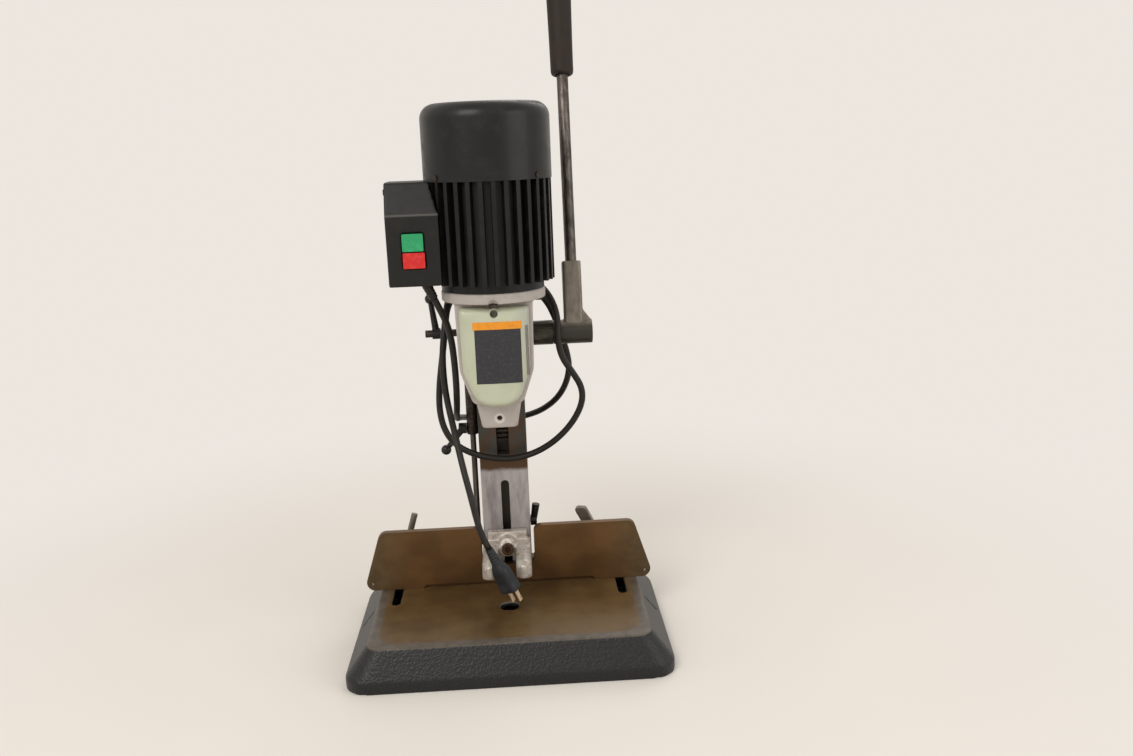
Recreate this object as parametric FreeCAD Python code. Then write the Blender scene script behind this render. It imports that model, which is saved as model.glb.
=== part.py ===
"""Benchtop mortiser: a motor head that a feed lever draws down a column over a cast base.

All sizes are in millimetres. The origin is the centre of the base's underside, +Z is up, +X is to
the right as the user stands, and the user stands on the -Y side.
"""
import FreeCAD
import Part
import math
import os

V = FreeCAD.Vector

# Shared clearances and cutting overrun
overrun = 2.0            # how far a cutting tool runs past the face it cuts
slide_gap = 0.06         # flat faces that slide on each other
shaft_gap = 0.05         # radial gap of a shaft in its bearing
seat_gap = 0.0           # a piece bolted face to face
air_gap = 0.5            # curved or loose faces of different pieces
rub_gap = 0.3            # flat moving faces that pass each other
tiny = 0.001             # length below which two points count as one
full_round = 0.49        # corner radius of a slot with round ends, as a share of its width

# Base casting
base_width = 416.0
base_depth = 290.0
base_height = 52.0
base_lip = 15.0
base_wall = 9.0
base_corner = 30.0
table_inset_side = 29.3
table_inset_end = 19.0
table_corner = 20.0
table_edge_round = 3.0
table_hole_radius = 12.5
table_slot_inset = 52.6    # from the base's end to the middle of the slot
table_slot_width = 11.0
table_slot_front = 2.0
table_slot_length = 92.0
crease_width = 4.0
crease_length = 30.0
crease_depth = 5.0

# Column, rack and column foot
column_width = 66.0
column_front = 60.0
column_depth = 52.0
column_corner = 2.5
foot_width = 118.0
foot_depth = 64.0
foot_height = 14.0
foot_corner = 8.0
foot_bolt_x = 46.0
foot_bolt_inset = 13.0
foot_bolt_radius = 5.0
groove_width = 17.0
groove_depth = 22.0
groove_under_rack = 16.0
slot_width = 11.5
slot_depth = 10.0
slot_pocket_width = 19.0
slot_pocket_depth = 9.0
slot_bottom = 74.0
slot_top = 202.0
channel_width = 28.0
channel_depth = 20.0
channel_bottom = 96.0

# Rack and pinion
gear_module = 2.0
pinion_teeth = 40
pinion_face = 14.6
pressure_angle = 20.0
tooth_backlash = 0.5
addendum_share = 1.0
dedendum_share = 1.25
rack_teeth = 33
rack_bottom_rise = -158.0
rack_screw_radius = 2.5
rack_screw_head_radius = 4.25
rack_screw_head_height = 4.0
rack_screw_rise = 30.0

# Drive axis: motor, chuck and chisel
drive_y = -21.0

# Head casting
head_top_rise = 57.0
head_half_top = 48.0
head_half_low = 46.0
head_shoulder_rise = -29.0
head_throat_rise = -72.0
head_throat_half = 31.0
head_front = -60.0
deck_round = 22.0
deck_round_front = 12.0
flange_height = 13.0
flange_radius = 65.0
nose_bottom_rise = -107.0
nose_half_top = 30.0
nose_half_low = 22.5
nose_depth_top = 56.0
nose_depth_low = 46.0
nose_top_rise = -65.0
nose_round = 7.0
nose_bore_radius = 9.5
nose_bore_length = 28.0
chuck_room_radius = 21.0
window_half = 28.0
window_bottom_rise = -51.0
window_top_rise = 39.0
pinion_y = 30.0
pinion_z = 413.0
keeper_thickness = 8.0
keeper_overlap = 17.0
gib_thickness = 4.0
gib_inset = 5.0

# Front cover of the head
cover_depth = 14.0
cover_half_top = 43.0
cover_half_low = 41.5
cover_top_rise = 51.5
cover_shoulder_rise = -28.0
cover_bottom_rise = -73.0
cover_wall = 3.0
cover_round = 8.0

# Socket screws that hold the cover, the keepers and the gib
screw_radius = 2.5
screw_head_radius = 4.25
screw_head_height = 4.0
screw_length = 12.0
screw_socket_radius = 1.4

# Motor
bell_height = 10.0
bell_radius = 64.0
frame_height = 123.0
frame_radius = 67.0
fin_radius = 77.5
fin_count = 32
fin_thickness = 5.2
frame_bore_radius = 60.0
cap_height = 91.0
cap_radius = 78.5
cap_wall = 2.5
cap_round = 18.0
vent_count = 8
vent_width = 5.0
vent_inner_radius = 18.0
vent_outer_radius = 46.0
stator_radius = 60.0
stator_bore = 34.0
stator_height = 66.0
winding_height = 14.0
winding_wall = 12.0
rotor_radius = 33.4
shaft_radius = 7.5
bearing_outer = 20.0
bearing_width = 12.0
fan_radius = 62.0
fan_blades = 8
fan_blade_height = 22.0
fan_hub_radius = 16.0
fan_plate = 3.0
chuck_radius = 17.0
chuck_top_rise = -29.0
chuck_bottom_rise = -68.0
chuck_jaw_length = 6.0
chuck_grip_radius = 6.35
spindle_socket = 12.0

# Switch box
box_left = -123.0
box_right = -57.0
box_front = -75.0
box_back = 5.0
box_split = -48.0
box_rise = 11.0            # above the motor bell's underside
box_height = 123.0
box_crease_rise = 85.0
box_slope_depth = 15.0
box_wall = 2.5
box_round = 3.0
box_motor_gap = 1.0
button_travel = 3.0
button_stand = 3.5
start_width = 25.0
start_height = 20.8
start_x = -91.4
start_z_rise = 53.1
stop_width = 26.0
stop_height = 18.6
stop_x = -90.9
stop_z_rise = 31.8
button_gap = 0.4
button_round = 1.5
module_width = 34.0
module_height = 48.0
module_depth = 24.0

# Feed lever
barrel_radius = 16.0
barrel_end = 74.0
hub_gap = 0.5
hub_end = 126.0
lever_x = 102.0
lever_lean = 12.2
arm_width = 25.0
arm_depth = 23.0
arm_reach = 92.0
arm_round = 4.0
lever_rod_radius = 7.5
grip_start = 337.0
grip_end = 457.0
grip_radius_low = 15.0
grip_radius_high = 16.5
hub_pin_radius = 3.0

# Small clamp levers with ball ends
ball_radius = 7.0
lever_boss_radius = 7.5
lever_boss_length = 11.0
lever_arm_radius_low = 5.0
lever_arm_radius_high = 3.6
head_lock_y = 86.0
head_lock_z_rise = -5.0
head_lock_x = -83.0
head_lock_reach = 48.0
head_lock_stud_radius = 5.0
head_lock_stud_end = -98.0
depth_lock_reach = 34.0

# Depth stop
stop_x_place = -41.6
stop_y_place = 88.0
sleeve_radius = 7.8
sleeve_bottom_rise = -149.0
stop_rod_radius = 4.0
stop_rod_top_rise = -137.0
collar_radius = 8.0
collar_height = 12.0
collar_bottom = 100.0

# Gas spring
strut_y = 104.0
strut_radius = 7.5
strut_wall = 1.5
strut_bottom_rise = -151.0
strut_length = 170.0
strut_rod_radius = 3.5
strut_foot_depth = 18.0
piston_height = 8.0
bridge_thickness = 6.0
bridge_height = 26.0

# Hold-down
fork_bottom = 95.0
fork_top = 118.0
fork_back_thickness = 13.0
fork_half = 27.0
fork_plate_top = 131.0
prong_right_span = (11.0, 32.0)
prong_left_span = (-34.0, -13.0)
prong_reach = -35.0
prong_toe = 18.0
prong_relief = 5.0
boss_radius = 13.0
boss_front = 28.0
boss_z = 114.0
clamp_bolt_radius = 4.9
clamp_bolt_head_radius = 8.0
clamp_bolt_head_height = 6.5
clamp_nut_width = 16.0
clamp_nut_height = 20.0
clamp_nut_thickness = 6.0
thumb_z = 132.0
thumb_y = 86.0
thumb_reach = 24.0

# Fence
fence_front = 50.0
fence_thickness = 9.7
fence_height = 85.0
fence_half_bottom = 204.0
fence_end_slant = 27.0
fence_corner = 12.0
fence_relief_half = 122.0
fence_relief_height = 5.0
fence_relief_depth = 6.0
fence_notch_half = 36.8
fence_notch_bottom = 82.0
fence_notch_round = 10.0
fence_hole_radius = 2.5
fence_hole_inset = 12.0
fence_hole_rise = 8.4
bracket_width = 40.0
bracket_thickness = 8.0
bracket_height = 60.0
bracket_reach = 44.0
fence_bolt_y = 84.0
fence_bolt_radius = 5.0
fence_bolt_head_width = 17.0
fence_bolt_head_height = 6.0
fence_lever_hub_radius = 11.0
fence_lever_hub_height = 16.0
left_lever_tip = (24.0, 12.0, 79.0)
right_lever_tip = (-51.0, 12.0, 77.0)
left_lever_radius = 4.5
right_lever_width = 18.0
right_lever_depth = 9.0

# Mains lead and plug
cord_radius = 4.25
gland_radius_top = 6.5
gland_radius_low = 5.6
plug_start_x = -22.5
plug_start_y = -51.0
plug_start_z = 146.0
plug_end_x = 4.0
plug_end_y = -50.0
plug_end_z = 87.5
plug_width = 27.0
plug_thickness = 20.0
plug_relief_length = 22.0
plug_nose_length = 12.0
blade_length = 17.5
blade_width = 6.3
blade_thickness = 1.5
blade_spacing = 12.7


# Helpers
def block(x_span, y_span, z_span):
    """Rectangular block between two values on each axis."""
    low = V(min(x_span), min(y_span), min(z_span))
    size = [max(span) - min(span) for span in (x_span, y_span, z_span)]
    return Part.makeBox(size[0], size[1], size[2], low)


def bar(radius, start, end):
    """Round bar from one point to another."""
    axis = end - start
    return Part.makeCylinder(radius, axis.Length, start, axis)


def taper(radius_start, radius_end, start, end):
    """Cone frustum from one point to another."""
    axis = end - start
    return Part.makeCone(radius_start, radius_end, axis.Length, start, axis)


def joined(pieces):
    """One solid from several that touch or overlap."""
    result = pieces[0].fuse(pieces[1:]) if len(pieces) > 1 else pieces[0]
    return result.removeSplitter()


def corner_arc(before, point, after, radius):
    """Start, middle and end of the arc that rounds a corner of a path."""
    back = (before - point).normalize()
    ahead = (after - point).normalize()
    half_angle = back.getAngle(ahead) / 2
    setback = radius / math.tan(half_angle)
    centre = point + (back + ahead).normalize() * (radius / math.sin(half_angle))
    middle = centre + (point - centre).normalize() * radius
    return point + back * setback, middle, point + ahead * setback


def rounded_face(points, radii):
    """Flat face through the points, each corner rounded by its own radius (0 leaves it sharp)."""
    count = len(points)
    edges = []
    ends = []
    for i in range(count):
        start = end = points[i]
        if radii[i] > 0:
            start, middle, end = corner_arc(points[i - 1], points[i], points[(i + 1) % count], radii[i])
            edges.append(Part.Arc(start, middle, end).toShape())
        ends.append((start, end))
    for i in range(count):
        start, end = ends[i][1], ends[(i + 1) % count][0]
        if (end - start).Length > tiny:
            edges.append(Part.LineSegment(start, end).toShape())
    return Part.Face(Part.Wire(Part.__sortEdges__(edges)))


def rectangle(x_span, y_span, height, radius):
    """Level rounded rectangle at one height."""
    corners = [(0, 0), (1, 0), (1, 1), (0, 1)]
    points = [V(x_span[i], y_span[j], height) for i, j in corners]
    return rounded_face(points, [radius] * len(points))


def post(x_span, y_span, z_span, radius):
    """Block whose upright edges are rounded."""
    return rectangle(x_span, y_span, z_span[0], radius).extrude(V(0, 0, z_span[1] - z_span[0]))


def front_slab(points, radii, y_span):
    """Slab with an outline drawn in the front view, as (x, z) points, between two depths."""
    places = [V(x, y_span[0], z) for x, z in points]
    return rounded_face(places, radii).extrude(V(0, y_span[1] - y_span[0], 0))


def side_slab(points, radii, x_span):
    """Slab with an outline drawn in the side view, as (y, z) points, between two x values."""
    places = [V(x_span[0], y, z) for y, z in points]
    return rounded_face(places, radii).extrude(V(x_span[1] - x_span[0], 0, 0))


def loft(faces):
    """Straight-sided solid between level faces."""
    return Part.makeLoft([face.OuterWire for face in faces], True, True)


def hexagon(across, bottom, height, x, y):
    """Hexagonal head or nut that stands upright."""
    radius = across / 2 / math.cos(math.pi / 6)
    angles = [math.pi / 3 * i for i in range(6)]
    points = [V(x + radius * math.cos(a), y + radius * math.sin(a), bottom) for a in angles]
    return rounded_face(points, [0] * len(points)).extrude(V(0, 0, height))


def turned(shape, angle, centre, axis):
    """Copy of a shape turned about an axis through a centre."""
    copy = shape.copy()
    copy.rotate(centre, axis, angle)
    return copy


def save(name, *solids):
    """Write one node: a solid, or a group of separate solids."""
    shape = solids[0] if len(solids) == 1 else Part.makeCompound(list(solids))
    shape.exportStep("parts/" + name + ".step")
    print(name, "solids", len(shape.Solids), "valid", shape.isValid(), "volume", round(shape.Volume))


os.makedirs("parts", exist_ok=True)
plug_start = V(plug_start_x, plug_start_y, plug_start_z)
plug_end = V(plug_end_x, plug_end_y, plug_end_z)
x_axis = V(1, 0, 0)
y_axis = V(0, 1, 0)
z_axis = V(0, 0, 1)

# Heights of the head and the column's top, which follow the pinion's axis
head_top = pinion_z + head_top_rise
column_top = head_top
head_shoulder = pinion_z + head_shoulder_rise
head_throat = pinion_z + head_throat_rise
nose_bottom = pinion_z + nose_bottom_rise
nose_top = pinion_z + nose_top_rise
window_bottom = pinion_z + window_bottom_rise
window_top = pinion_z + window_top_rise
cover_top = pinion_z + cover_top_rise
cover_shoulder = pinion_z + cover_shoulder_rise
cover_bottom = pinion_z + cover_bottom_rise
chuck_top = pinion_z + chuck_top_rise
chuck_bottom = pinion_z + chuck_bottom_rise
head_lock_z = pinion_z + head_lock_z_rise
sleeve_bottom = pinion_z + sleeve_bottom_rise
stop_rod_top = pinion_z + stop_rod_top_rise
strut_bottom = pinion_z + strut_bottom_rise
rack_bottom = pinion_z + rack_bottom_rise
groove_bottom = rack_bottom - groove_under_rack
flange_top = head_top + flange_height
bell_bottom = flange_top
box_bottom = bell_bottom + box_rise
box_crease = box_bottom + box_crease_rise
start_z = box_bottom + start_z_rise
stop_z = box_bottom + stop_z_rise

# Other values worked out from the sizes above
table_slot_x = base_width / 2 - table_slot_inset
fence_half_top = fence_half_bottom - fence_end_slant
column_back = column_front + column_depth
column_half = column_width / 2
pinion_radius = gear_module * pinion_teeth / 2
rack_line = pinion_y + pinion_radius
frame_bottom = bell_bottom + bell_height
frame_top = frame_bottom + frame_height
cap_top = frame_top + cap_height
box_top = box_bottom + box_height
keeper_front = column_back + slide_gap
keeper_back = keeper_front + keeper_thickness


# Base casting
def base_shape(inset, bottom, top_drop):
    """Tub form of the base, drawn in by an inset, from a bottom height to below the table top."""
    x_low = base_width / 2 - inset
    y_low = base_depth / 2 - inset
    x_high = x_low - table_inset_side
    y_high = y_low - table_inset_end
    corner_low = base_corner - inset
    corner_high = table_corner - inset
    lip = post((-x_low, x_low), (-y_low, y_low), (bottom, base_lip), corner_low)
    low_face = rectangle((-x_low, x_low), (-y_low, y_low), base_lip, corner_low)
    high_face = rectangle((-x_high, x_high), (-y_high, y_high), base_height - top_drop, corner_high)
    return lip.fuse(loft([low_face, high_face])).removeSplitter()


def table_slot(x):
    """Cutting tool for one slot that runs front to back in the table."""
    x_span = (x - table_slot_width / 2, x + table_slot_width / 2)
    y_span = (table_slot_front, table_slot_front + table_slot_length)
    return post(x_span, y_span, (base_height - base_wall - overrun, base_height + overrun),
                table_slot_width * full_round)


def make_base():
    """Hollow casting with a flat table, a round chip hole, two slots and two side creases."""
    body = base_shape(0, 0, 0)
    top_edges = [e for e in body.Edges if abs(e.BoundBox.ZMin - base_height) < seat_gap + slide_gap
                 and e.BoundBox.ZLength < slide_gap]
    body = body.makeFillet(table_edge_round, top_edges)
    hollow = base_shape(base_wall, -overrun, base_wall)
    hole = bar(table_hole_radius, V(0, drive_y + rub_gap, 0), V(0, drive_y + rub_gap, base_height + overrun))
    body = body.cut([hollow, hole, table_slot(-table_slot_x), table_slot(table_slot_x)])
    slope = math.degrees(math.atan2(base_height - base_lip, table_inset_side))
    for side in (-1, 1):
        rim_x = side * (base_width / 2 - table_inset_side / 2)
        rim_z = (base_lip + base_height) / 2
        groove = block((rim_x - crease_length / 2, rim_x + crease_length / 2),
                       (-crease_width / 2, crease_width / 2),
                       (rim_z - crease_depth / 2, rim_z + crease_depth))
        body = body.cut(turned(groove, side * slope, V(rim_x, 0, rim_z), y_axis))
    bosses = []
    for x in (-foot_bolt_x, foot_bolt_x):
        for y in foot_bolt_rows:
            boss = bar(2 * foot_bolt_radius, V(x, y, base_height - base_wall - foot_height),
                       V(x, y, base_height - base_wall))
            bosses.append(boss)
    body = joined([body] + bosses)
    for x in (-foot_bolt_x, foot_bolt_x):
        for y in foot_bolt_rows:
            body = body.cut(bar(foot_bolt_radius, V(x, y, 0), V(x, y, base_height + overrun)))
    save("base_casting", body)


foot_front = column_front
foot_bolt_rows = (foot_front + foot_bolt_inset, foot_front + foot_depth - foot_bolt_inset)


def make_column():
    """Square column with a foot, a rack groove, a T slot for the hold-down and a rear channel."""
    column = post((-column_half, column_half), (column_front, column_back),
                  (base_height, column_top), column_corner)
    foot = post((-foot_width / 2, foot_width / 2), (foot_front, foot_front + foot_depth),
                (base_height, base_height + foot_height), foot_corner)
    body = joined([column, foot])
    cuts = [block((-groove_width / 2, groove_width / 2), (column_front - overrun, column_front + groove_depth),
                  (groove_bottom, column_top + overrun)),
            front_slab([(-slot_width / 2, slot_bottom), (slot_width / 2, slot_bottom),
                        (slot_width / 2, slot_top), (-slot_width / 2, slot_top)],
                       [0, 0, slot_width * full_round, slot_width * full_round],
                       (column_front - overrun, column_front + slot_depth)),
            block((-slot_pocket_width / 2, slot_pocket_width / 2),
                  (column_front + slot_depth - rub_gap, column_front + slot_depth + slot_pocket_depth),
                  (slot_bottom, slot_top)),
            block((-channel_width / 2, channel_width / 2), (column_back - channel_depth, column_back + overrun),
                  (channel_bottom, column_top + overrun))]
    for x in (-foot_bolt_x, foot_bolt_x):
        for y in foot_bolt_rows:
            cuts.append(bar(foot_bolt_radius + air_gap, V(x, y, base_height - overrun),
                            V(x, y, base_height + foot_height + overrun)))
    cuts.append(bar(strut_rod_radius, V(0, strut_y, channel_bottom - strut_foot_depth),
                    V(0, strut_y, channel_bottom + overrun)))
    cuts.append(bar(stop_rod_radius, V(stop_x_place, stop_y_place, base_height),
                    V(stop_x_place, stop_y_place, base_height + foot_height + overrun)))
    cuts.append(bar(thumb_stud_radius, V(column_half - column_width / 4, thumb_y, thumb_z),
                    V(column_half + overrun, thumb_y, thumb_z)))
    for z in rack_screw_heights:
        cuts.append(bar(rack_screw_radius, V(0, column_front + groove_depth, z),
                        V(0, column_front + groove_depth + screw_length, z)))
    save("column", body.cut(cuts))


thumb_stud_radius = 4.0
rack_top = rack_bottom + rack_teeth * gear_module * math.pi
rack_screw_heights = (rack_bottom + rack_screw_rise, rack_top - rack_screw_rise)


def make_column_bolts():
    """Four hexagon bolts that hold the column foot to the base."""
    bolts = []
    for x in (-foot_bolt_x, foot_bolt_x):
        for y in foot_bolt_rows:
            top = base_height + foot_height
            shank = bar(foot_bolt_radius, V(x, y, base_height - base_wall - foot_height), V(x, y, top))
            head = hexagon(fence_bolt_head_width, top, fence_bolt_head_height, x, y)
            bolts.append(joined([shank, head]))
    save("column_bolts", *bolts)


# Rack and pinion
def make_rack():
    """Toothed bar in the column groove, its teeth towards the user, held by two screws."""
    pitch = gear_module * math.pi
    tip = rack_line - addendum_share * gear_module
    root = rack_line + dedendum_share * gear_module
    lean = math.tan(math.radians(pressure_angle))
    half = (pitch - tooth_backlash) / 4
    half_tip = half - addendum_share * gear_module * lean
    half_root = half + dedendum_share * gear_module * lean
    outline = [(root, rack_bottom)]
    for tooth in range(rack_teeth):
        middle = rack_phase + tooth * pitch
        outline += [(root, middle - half_root), (tip, middle - half_tip),
                    (tip, middle + half_tip), (root, middle + half_root)]
    back = column_front + groove_depth - seat_gap
    outline += [(root, rack_top), (back, rack_top), (back, rack_bottom)]
    body = side_slab(outline, [0] * len(outline), (-pinion_face / 2, pinion_face / 2))
    for z in rack_screw_heights:
        body = body.cut(bar(rack_screw_radius, V(0, tip - overrun, z), V(0, back + overrun, z)))
        body = body.cut(bar(rack_screw_head_radius, V(0, tip - overrun, z), V(0, root + screw_head_height, z)))
    save("rack", body)


def make_rack_screws():
    """Two socket screws sunk below the rack's teeth."""
    screws = []
    root = rack_line + dedendum_share * gear_module
    for z in rack_screw_heights:
        head = bar(rack_screw_head_radius, V(0, root, z), V(0, root + screw_head_height, z))
        shank = bar(rack_screw_radius, V(0, root + screw_head_height, z),
                    V(0, column_front + groove_depth + screw_length, z))
        screws.append(joined([head, shank]))
    save("rack_screws", *screws)


def pinion_outline():
    """Points (y, z) of the pinion's teeth, with involute flanks, one tooth pointing at the rack."""
    pitch_r = pinion_radius
    base_r = pitch_r * math.cos(math.radians(pressure_angle))
    tip_r = pitch_r + addendum_share * gear_module
    root_r = pitch_r - dedendum_share * gear_module
    half_at_pitch = (math.pi * gear_module - tooth_backlash) / 4 / pitch_r
    start_r = max(base_r, root_r)
    radii = [start_r + (tip_r - start_r) * step / flank_steps for step in range(flank_steps + 1)]

    def involute(radius):
        """Angle by which the involute has opened at a radius."""
        ratio = math.sqrt(max((radius / base_r) ** 2 - 1, 0))
        return ratio - math.atan(ratio)

    points = []
    for tooth in range(pinion_teeth):
        middle = 2 * math.pi * tooth / pinion_teeth
        halves = [half_at_pitch + involute(pitch_r) - involute(radius) for radius in radii]
        low_side = [(middle - h, r) for h, r in zip(halves, radii)]
        high_side = [(middle + h, r) for h, r in zip(halves, radii)][::-1]
        for angle, radius in [(middle - halves[0], root_r)] + low_side + high_side + [(middle + halves[0], root_r)]:
            points.append((pinion_y + radius * math.cos(angle), pinion_z + radius * math.sin(angle)))
    return points


flank_steps = 3
tooth_pitch = gear_module * math.pi
teeth_below_pinion = math.floor((pinion_z - rack_bottom) / tooth_pitch)
rack_phase = pinion_z + tooth_pitch / 2 - teeth_below_pinion * tooth_pitch


def make_pinion_shaft():
    """Pinion and its shaft in one piece; the shaft runs through the head and into the lever hub."""
    outline = pinion_outline()
    gear = side_slab(outline, [0] * len(outline), (-pinion_face / 2, pinion_face / 2))
    shaft = bar(pinion_shaft_radius, V(-head_half_low + overrun, pinion_y, pinion_z),
                V(hub_end - hub_blind, pinion_y, pinion_z))
    shaft = shaft.cut(hub_pin(shaft_gap))
    save("pinion_shaft", joined([shaft, gear]))


pinion_shaft_radius = 8.0
hub_blind = 6.0
bush_radius = 11.0


def hub_pin(gap):
    """Cross pin through the hub and the shaft, grown by a gap."""
    half = barrel_radius - air_gap + gap
    return turned(bar(hub_pin_radius + gap, V(hub_pin_x, pinion_y, pinion_z - half),
                      V(hub_pin_x, pinion_y, pinion_z + half)), -lever_lean, pinion_centre, x_axis)


pinion_centre = V(0, pinion_y, pinion_z)
hub_pin_x = 82.0


def make_pinion_bushes():
    """Long barrel bush on the right of the head and a short flush bush on the left."""
    bore_start = V(head_half_low - 2 * overrun, pinion_y, pinion_z)
    right = joined([bar(bush_radius, V(pinion_face / 2 + air_gap + overrun, pinion_y, pinion_z), bore_start),
                    bar(bush_radius, bore_start, V(barrel_start, pinion_y, pinion_z)),
                    bar(barrel_radius, V(barrel_start, pinion_y, pinion_z), V(barrel_end, pinion_y, pinion_z))])
    left = bar(bush_radius, V(-head_half_low + overrun, pinion_y, pinion_z),
               V(-pinion_face / 2 - air_gap - overrun, pinion_y, pinion_z))
    bore = bar(pinion_shaft_radius + shaft_gap, V(-head_half_top - overrun, pinion_y, pinion_z),
               V(hub_end + overrun, pinion_y, pinion_z))
    save("pinion_bushes", right.cut(bore), left.cut(bore))


barrel_start = head_half_top + slide_gap


# Head casting
def head_outline(half_top, half_low, top, shoulder, throat, throat_half):
    """Shield outline of the head in the front view: straight sides, then drawn in to a throat."""
    return [(half_top, top), (half_low, shoulder), (throat_half, throat),
            (-throat_half, throat), (-half_low, shoulder), (-half_top, top)]


def column_room():
    """Channel of the head that slides on the column, with the gib's share on the left."""
    return block((-column_half - gib_thickness - 2 * slide_gap, column_half + slide_gap),
                 (column_front - slide_gap, column_back + 2 * overrun),
                 (head_throat - overrun - nose_round, head_top + overrun))


def pinion_room():
    """Round room for the pinion, open to the column's groove."""
    tip = pinion_radius + addendum_share * gear_module + air_gap
    return bar(tip + air_gap, V(-pinion_face / 2 - overrun, pinion_y, pinion_z),
               V(pinion_face / 2 + overrun, pinion_y, pinion_z))


def nose_shape():
    """Tapered nose under the head that holds the chisel."""
    faces = []
    for half, depth, height in ((nose_half_low, nose_depth_low, nose_bottom),
                                (nose_half_top, nose_depth_top, nose_top)):
        faces.append(rectangle((-half, half), (drive_y - depth / 2, drive_y + depth / 2), height, nose_round))
    ring_z = nose_screw_z
    boss = bar(nose_boss_radius, V(0, drive_y, ring_z), V(0, nose_front - overrun / 2, ring_z))
    return joined([loft(faces), boss])


nose_screw_z_rise = -94.0
nose_screw_z = pinion_z + nose_screw_z_rise
head_rounds = (0, 30.0, 10.0, 10.0, 30.0, 0)
nose_boss_radius = 6.0
nose_front = drive_y - nose_depth_low / 2
nose_screw_radius = 3.5


def deck_corner(side):
    """Waste outside the rounded top corner of the carriage, where the mains lead passes."""
    x_in = side * (head_half_top - deck_round)
    waste = block((x_in, side * (head_half_top + overrun)), (deck_round_front, column_back + overrun),
                  (head_top - deck_round, head_top + overrun))
    return waste.cut(bar(deck_round, V(x_in, deck_round_front - overrun, head_top - deck_round),
                         V(x_in, column_back + 2 * overrun, head_top - deck_round)))


def make_head_casting():
    """Head: a carriage round the column, a room for chuck and pinion, a nose and a motor flange."""
    outline = head_outline(head_half_top, head_half_low, head_top, head_shoulder, head_throat,
                           head_throat_half)
    shell = front_slab(outline, head_rounds, (head_front, column_back))
    flange = bar(flange_radius, V(0, drive_y, head_top), V(0, drive_y, flange_top))
    for side in (-1, 1):
        shell = shell.cut(deck_corner(side))
    body = joined([shell, flange, nose_shape()])
    chuck_room = bar(chuck_room_radius, V(0, drive_y, nose_bottom + nose_bore_length),
                     V(0, drive_y, flange_top + overrun))
    window = block((-window_half, window_half), (head_front - overrun, drive_y), (window_bottom, window_top))
    bore = bar(nose_bore_radius, V(0, drive_y, nose_bottom - overrun), V(0, drive_y, nose_top))
    screw_hole = bar(nose_screw_radius, V(0, nose_front - 2 * overrun, nose_screw_z), V(0, drive_y, nose_screw_z))
    shaft_bore = bar(bush_radius, V(-head_half_low + overrun, pinion_y, pinion_z),
                     V(head_half_top + overrun, pinion_y, pinion_z))
    flange_bolt_notch = bar(notch_radius, V(0, drive_y - flange_radius - overrun, head_top),
                            V(0, drive_y - flange_radius + notch_radius, head_top))
    body = body.cut([column_room(), pinion_room(), chuck_room, window, bore, screw_hole, shaft_bore])
    cuts = [flange_bolt_notch]
    for place, direction in casting_screw_places():
        cuts.append(bar(screw_radius, place, place + direction * screw_length))
    for angle in motor_bolt_angles:
        cuts.append(motor_bolt(angle, seat_gap, head_top - overrun, flange_top + overrun))
    cuts.append(bar(sleeve_radius, V(stop_x_place, stop_y_place, sleeve_bottom),
                    V(stop_x_place, stop_y_place, sleeve_top)))
    cuts.append(bar(head_lock_stud_radius, V(-head_half_top - overrun, head_lock_y, head_lock_z),
                    V(-column_half, head_lock_y, head_lock_z)))
    save("head_casting", body.cut(cuts))


notch_radius = 5.5
motor_bolt_radius = 3.0
motor_bolt_circle = 56.0
motor_bolt_angles = (0, 180, 270)


def motor_bolt(angle, gap, bottom, top):
    """Upright rod at one place of the motor's bolt circle."""
    x = motor_bolt_circle * math.cos(math.radians(angle))
    y = drive_y + motor_bolt_circle * math.sin(math.radians(angle))
    return bar(motor_bolt_radius + gap, V(x, y, bottom), V(x, y, top))


def casting_screw_places():
    """Seat and inward direction of every small socket screw in the head casting."""
    places = []
    places.append((V(0, head_front, cover_screw_z), y_axis))
    for side in (-1, 1):
        for z in keeper_screw_heights:
            places.append((V(side * keeper_screw_x, column_back, z), y_axis * -1))
    return places


cover_screw_z_rise = 44.0
cover_screw_z = pinion_z + cover_screw_z_rise
keeper_screw_x = 43.5
keeper_screw_rises = (-43.0, -10.0, 24.0)
keeper_screw_heights = tuple(pinion_z + rise for rise in keeper_screw_rises)


def make_keepers():
    """Two flat keepers behind the column that close the head's carriage."""
    keepers = []
    for side in (-1, 1):
        inner = side * (column_half - keeper_overlap)
        keeper = block((inner, side * head_half_low), (keeper_front, keeper_back), (keeper_bottom, keeper_top))
        for z in keeper_screw_heights:
            keeper = keeper.cut(bar(screw_radius + air_gap, V(side * keeper_screw_x, column_back, z),
                                    V(side * keeper_screw_x, keeper_back + overrun, z)))
        for z in bridge_screw_heights:
            keeper = keeper.cut(bar(screw_radius, V(side * bridge_screw_x, keeper_front - overrun, z),
                                    V(side * bridge_screw_x, keeper_back + overrun, z)))
        keepers.append(keeper)
    save("carriage_keepers", *keepers)


keeper_bottom_rise = -53.0
keeper_bottom = pinion_z + keeper_bottom_rise
keeper_top = head_top - deck_round
bridge_top = keeper_top - overrun
bridge_screw_x = 24.0
bridge_screw_heights = (bridge_top - bridge_height / 2,)


def socket_screw(seat, direction, gap_under_head, length):
    """Socket head screw: its shank runs from the seat along a direction and its head stands behind."""
    shank = bar(screw_radius, seat - direction * gap_under_head, seat + direction * length)
    head = bar(screw_head_radius, seat - direction * gap_under_head,
               seat - direction * (gap_under_head + screw_head_height))
    socket = bar(screw_socket_radius, seat - direction * (gap_under_head + screw_head_height / 2),
                 seat - direction * (gap_under_head + screw_head_height + overrun))
    return joined([shank, head]).cut(socket)


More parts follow.
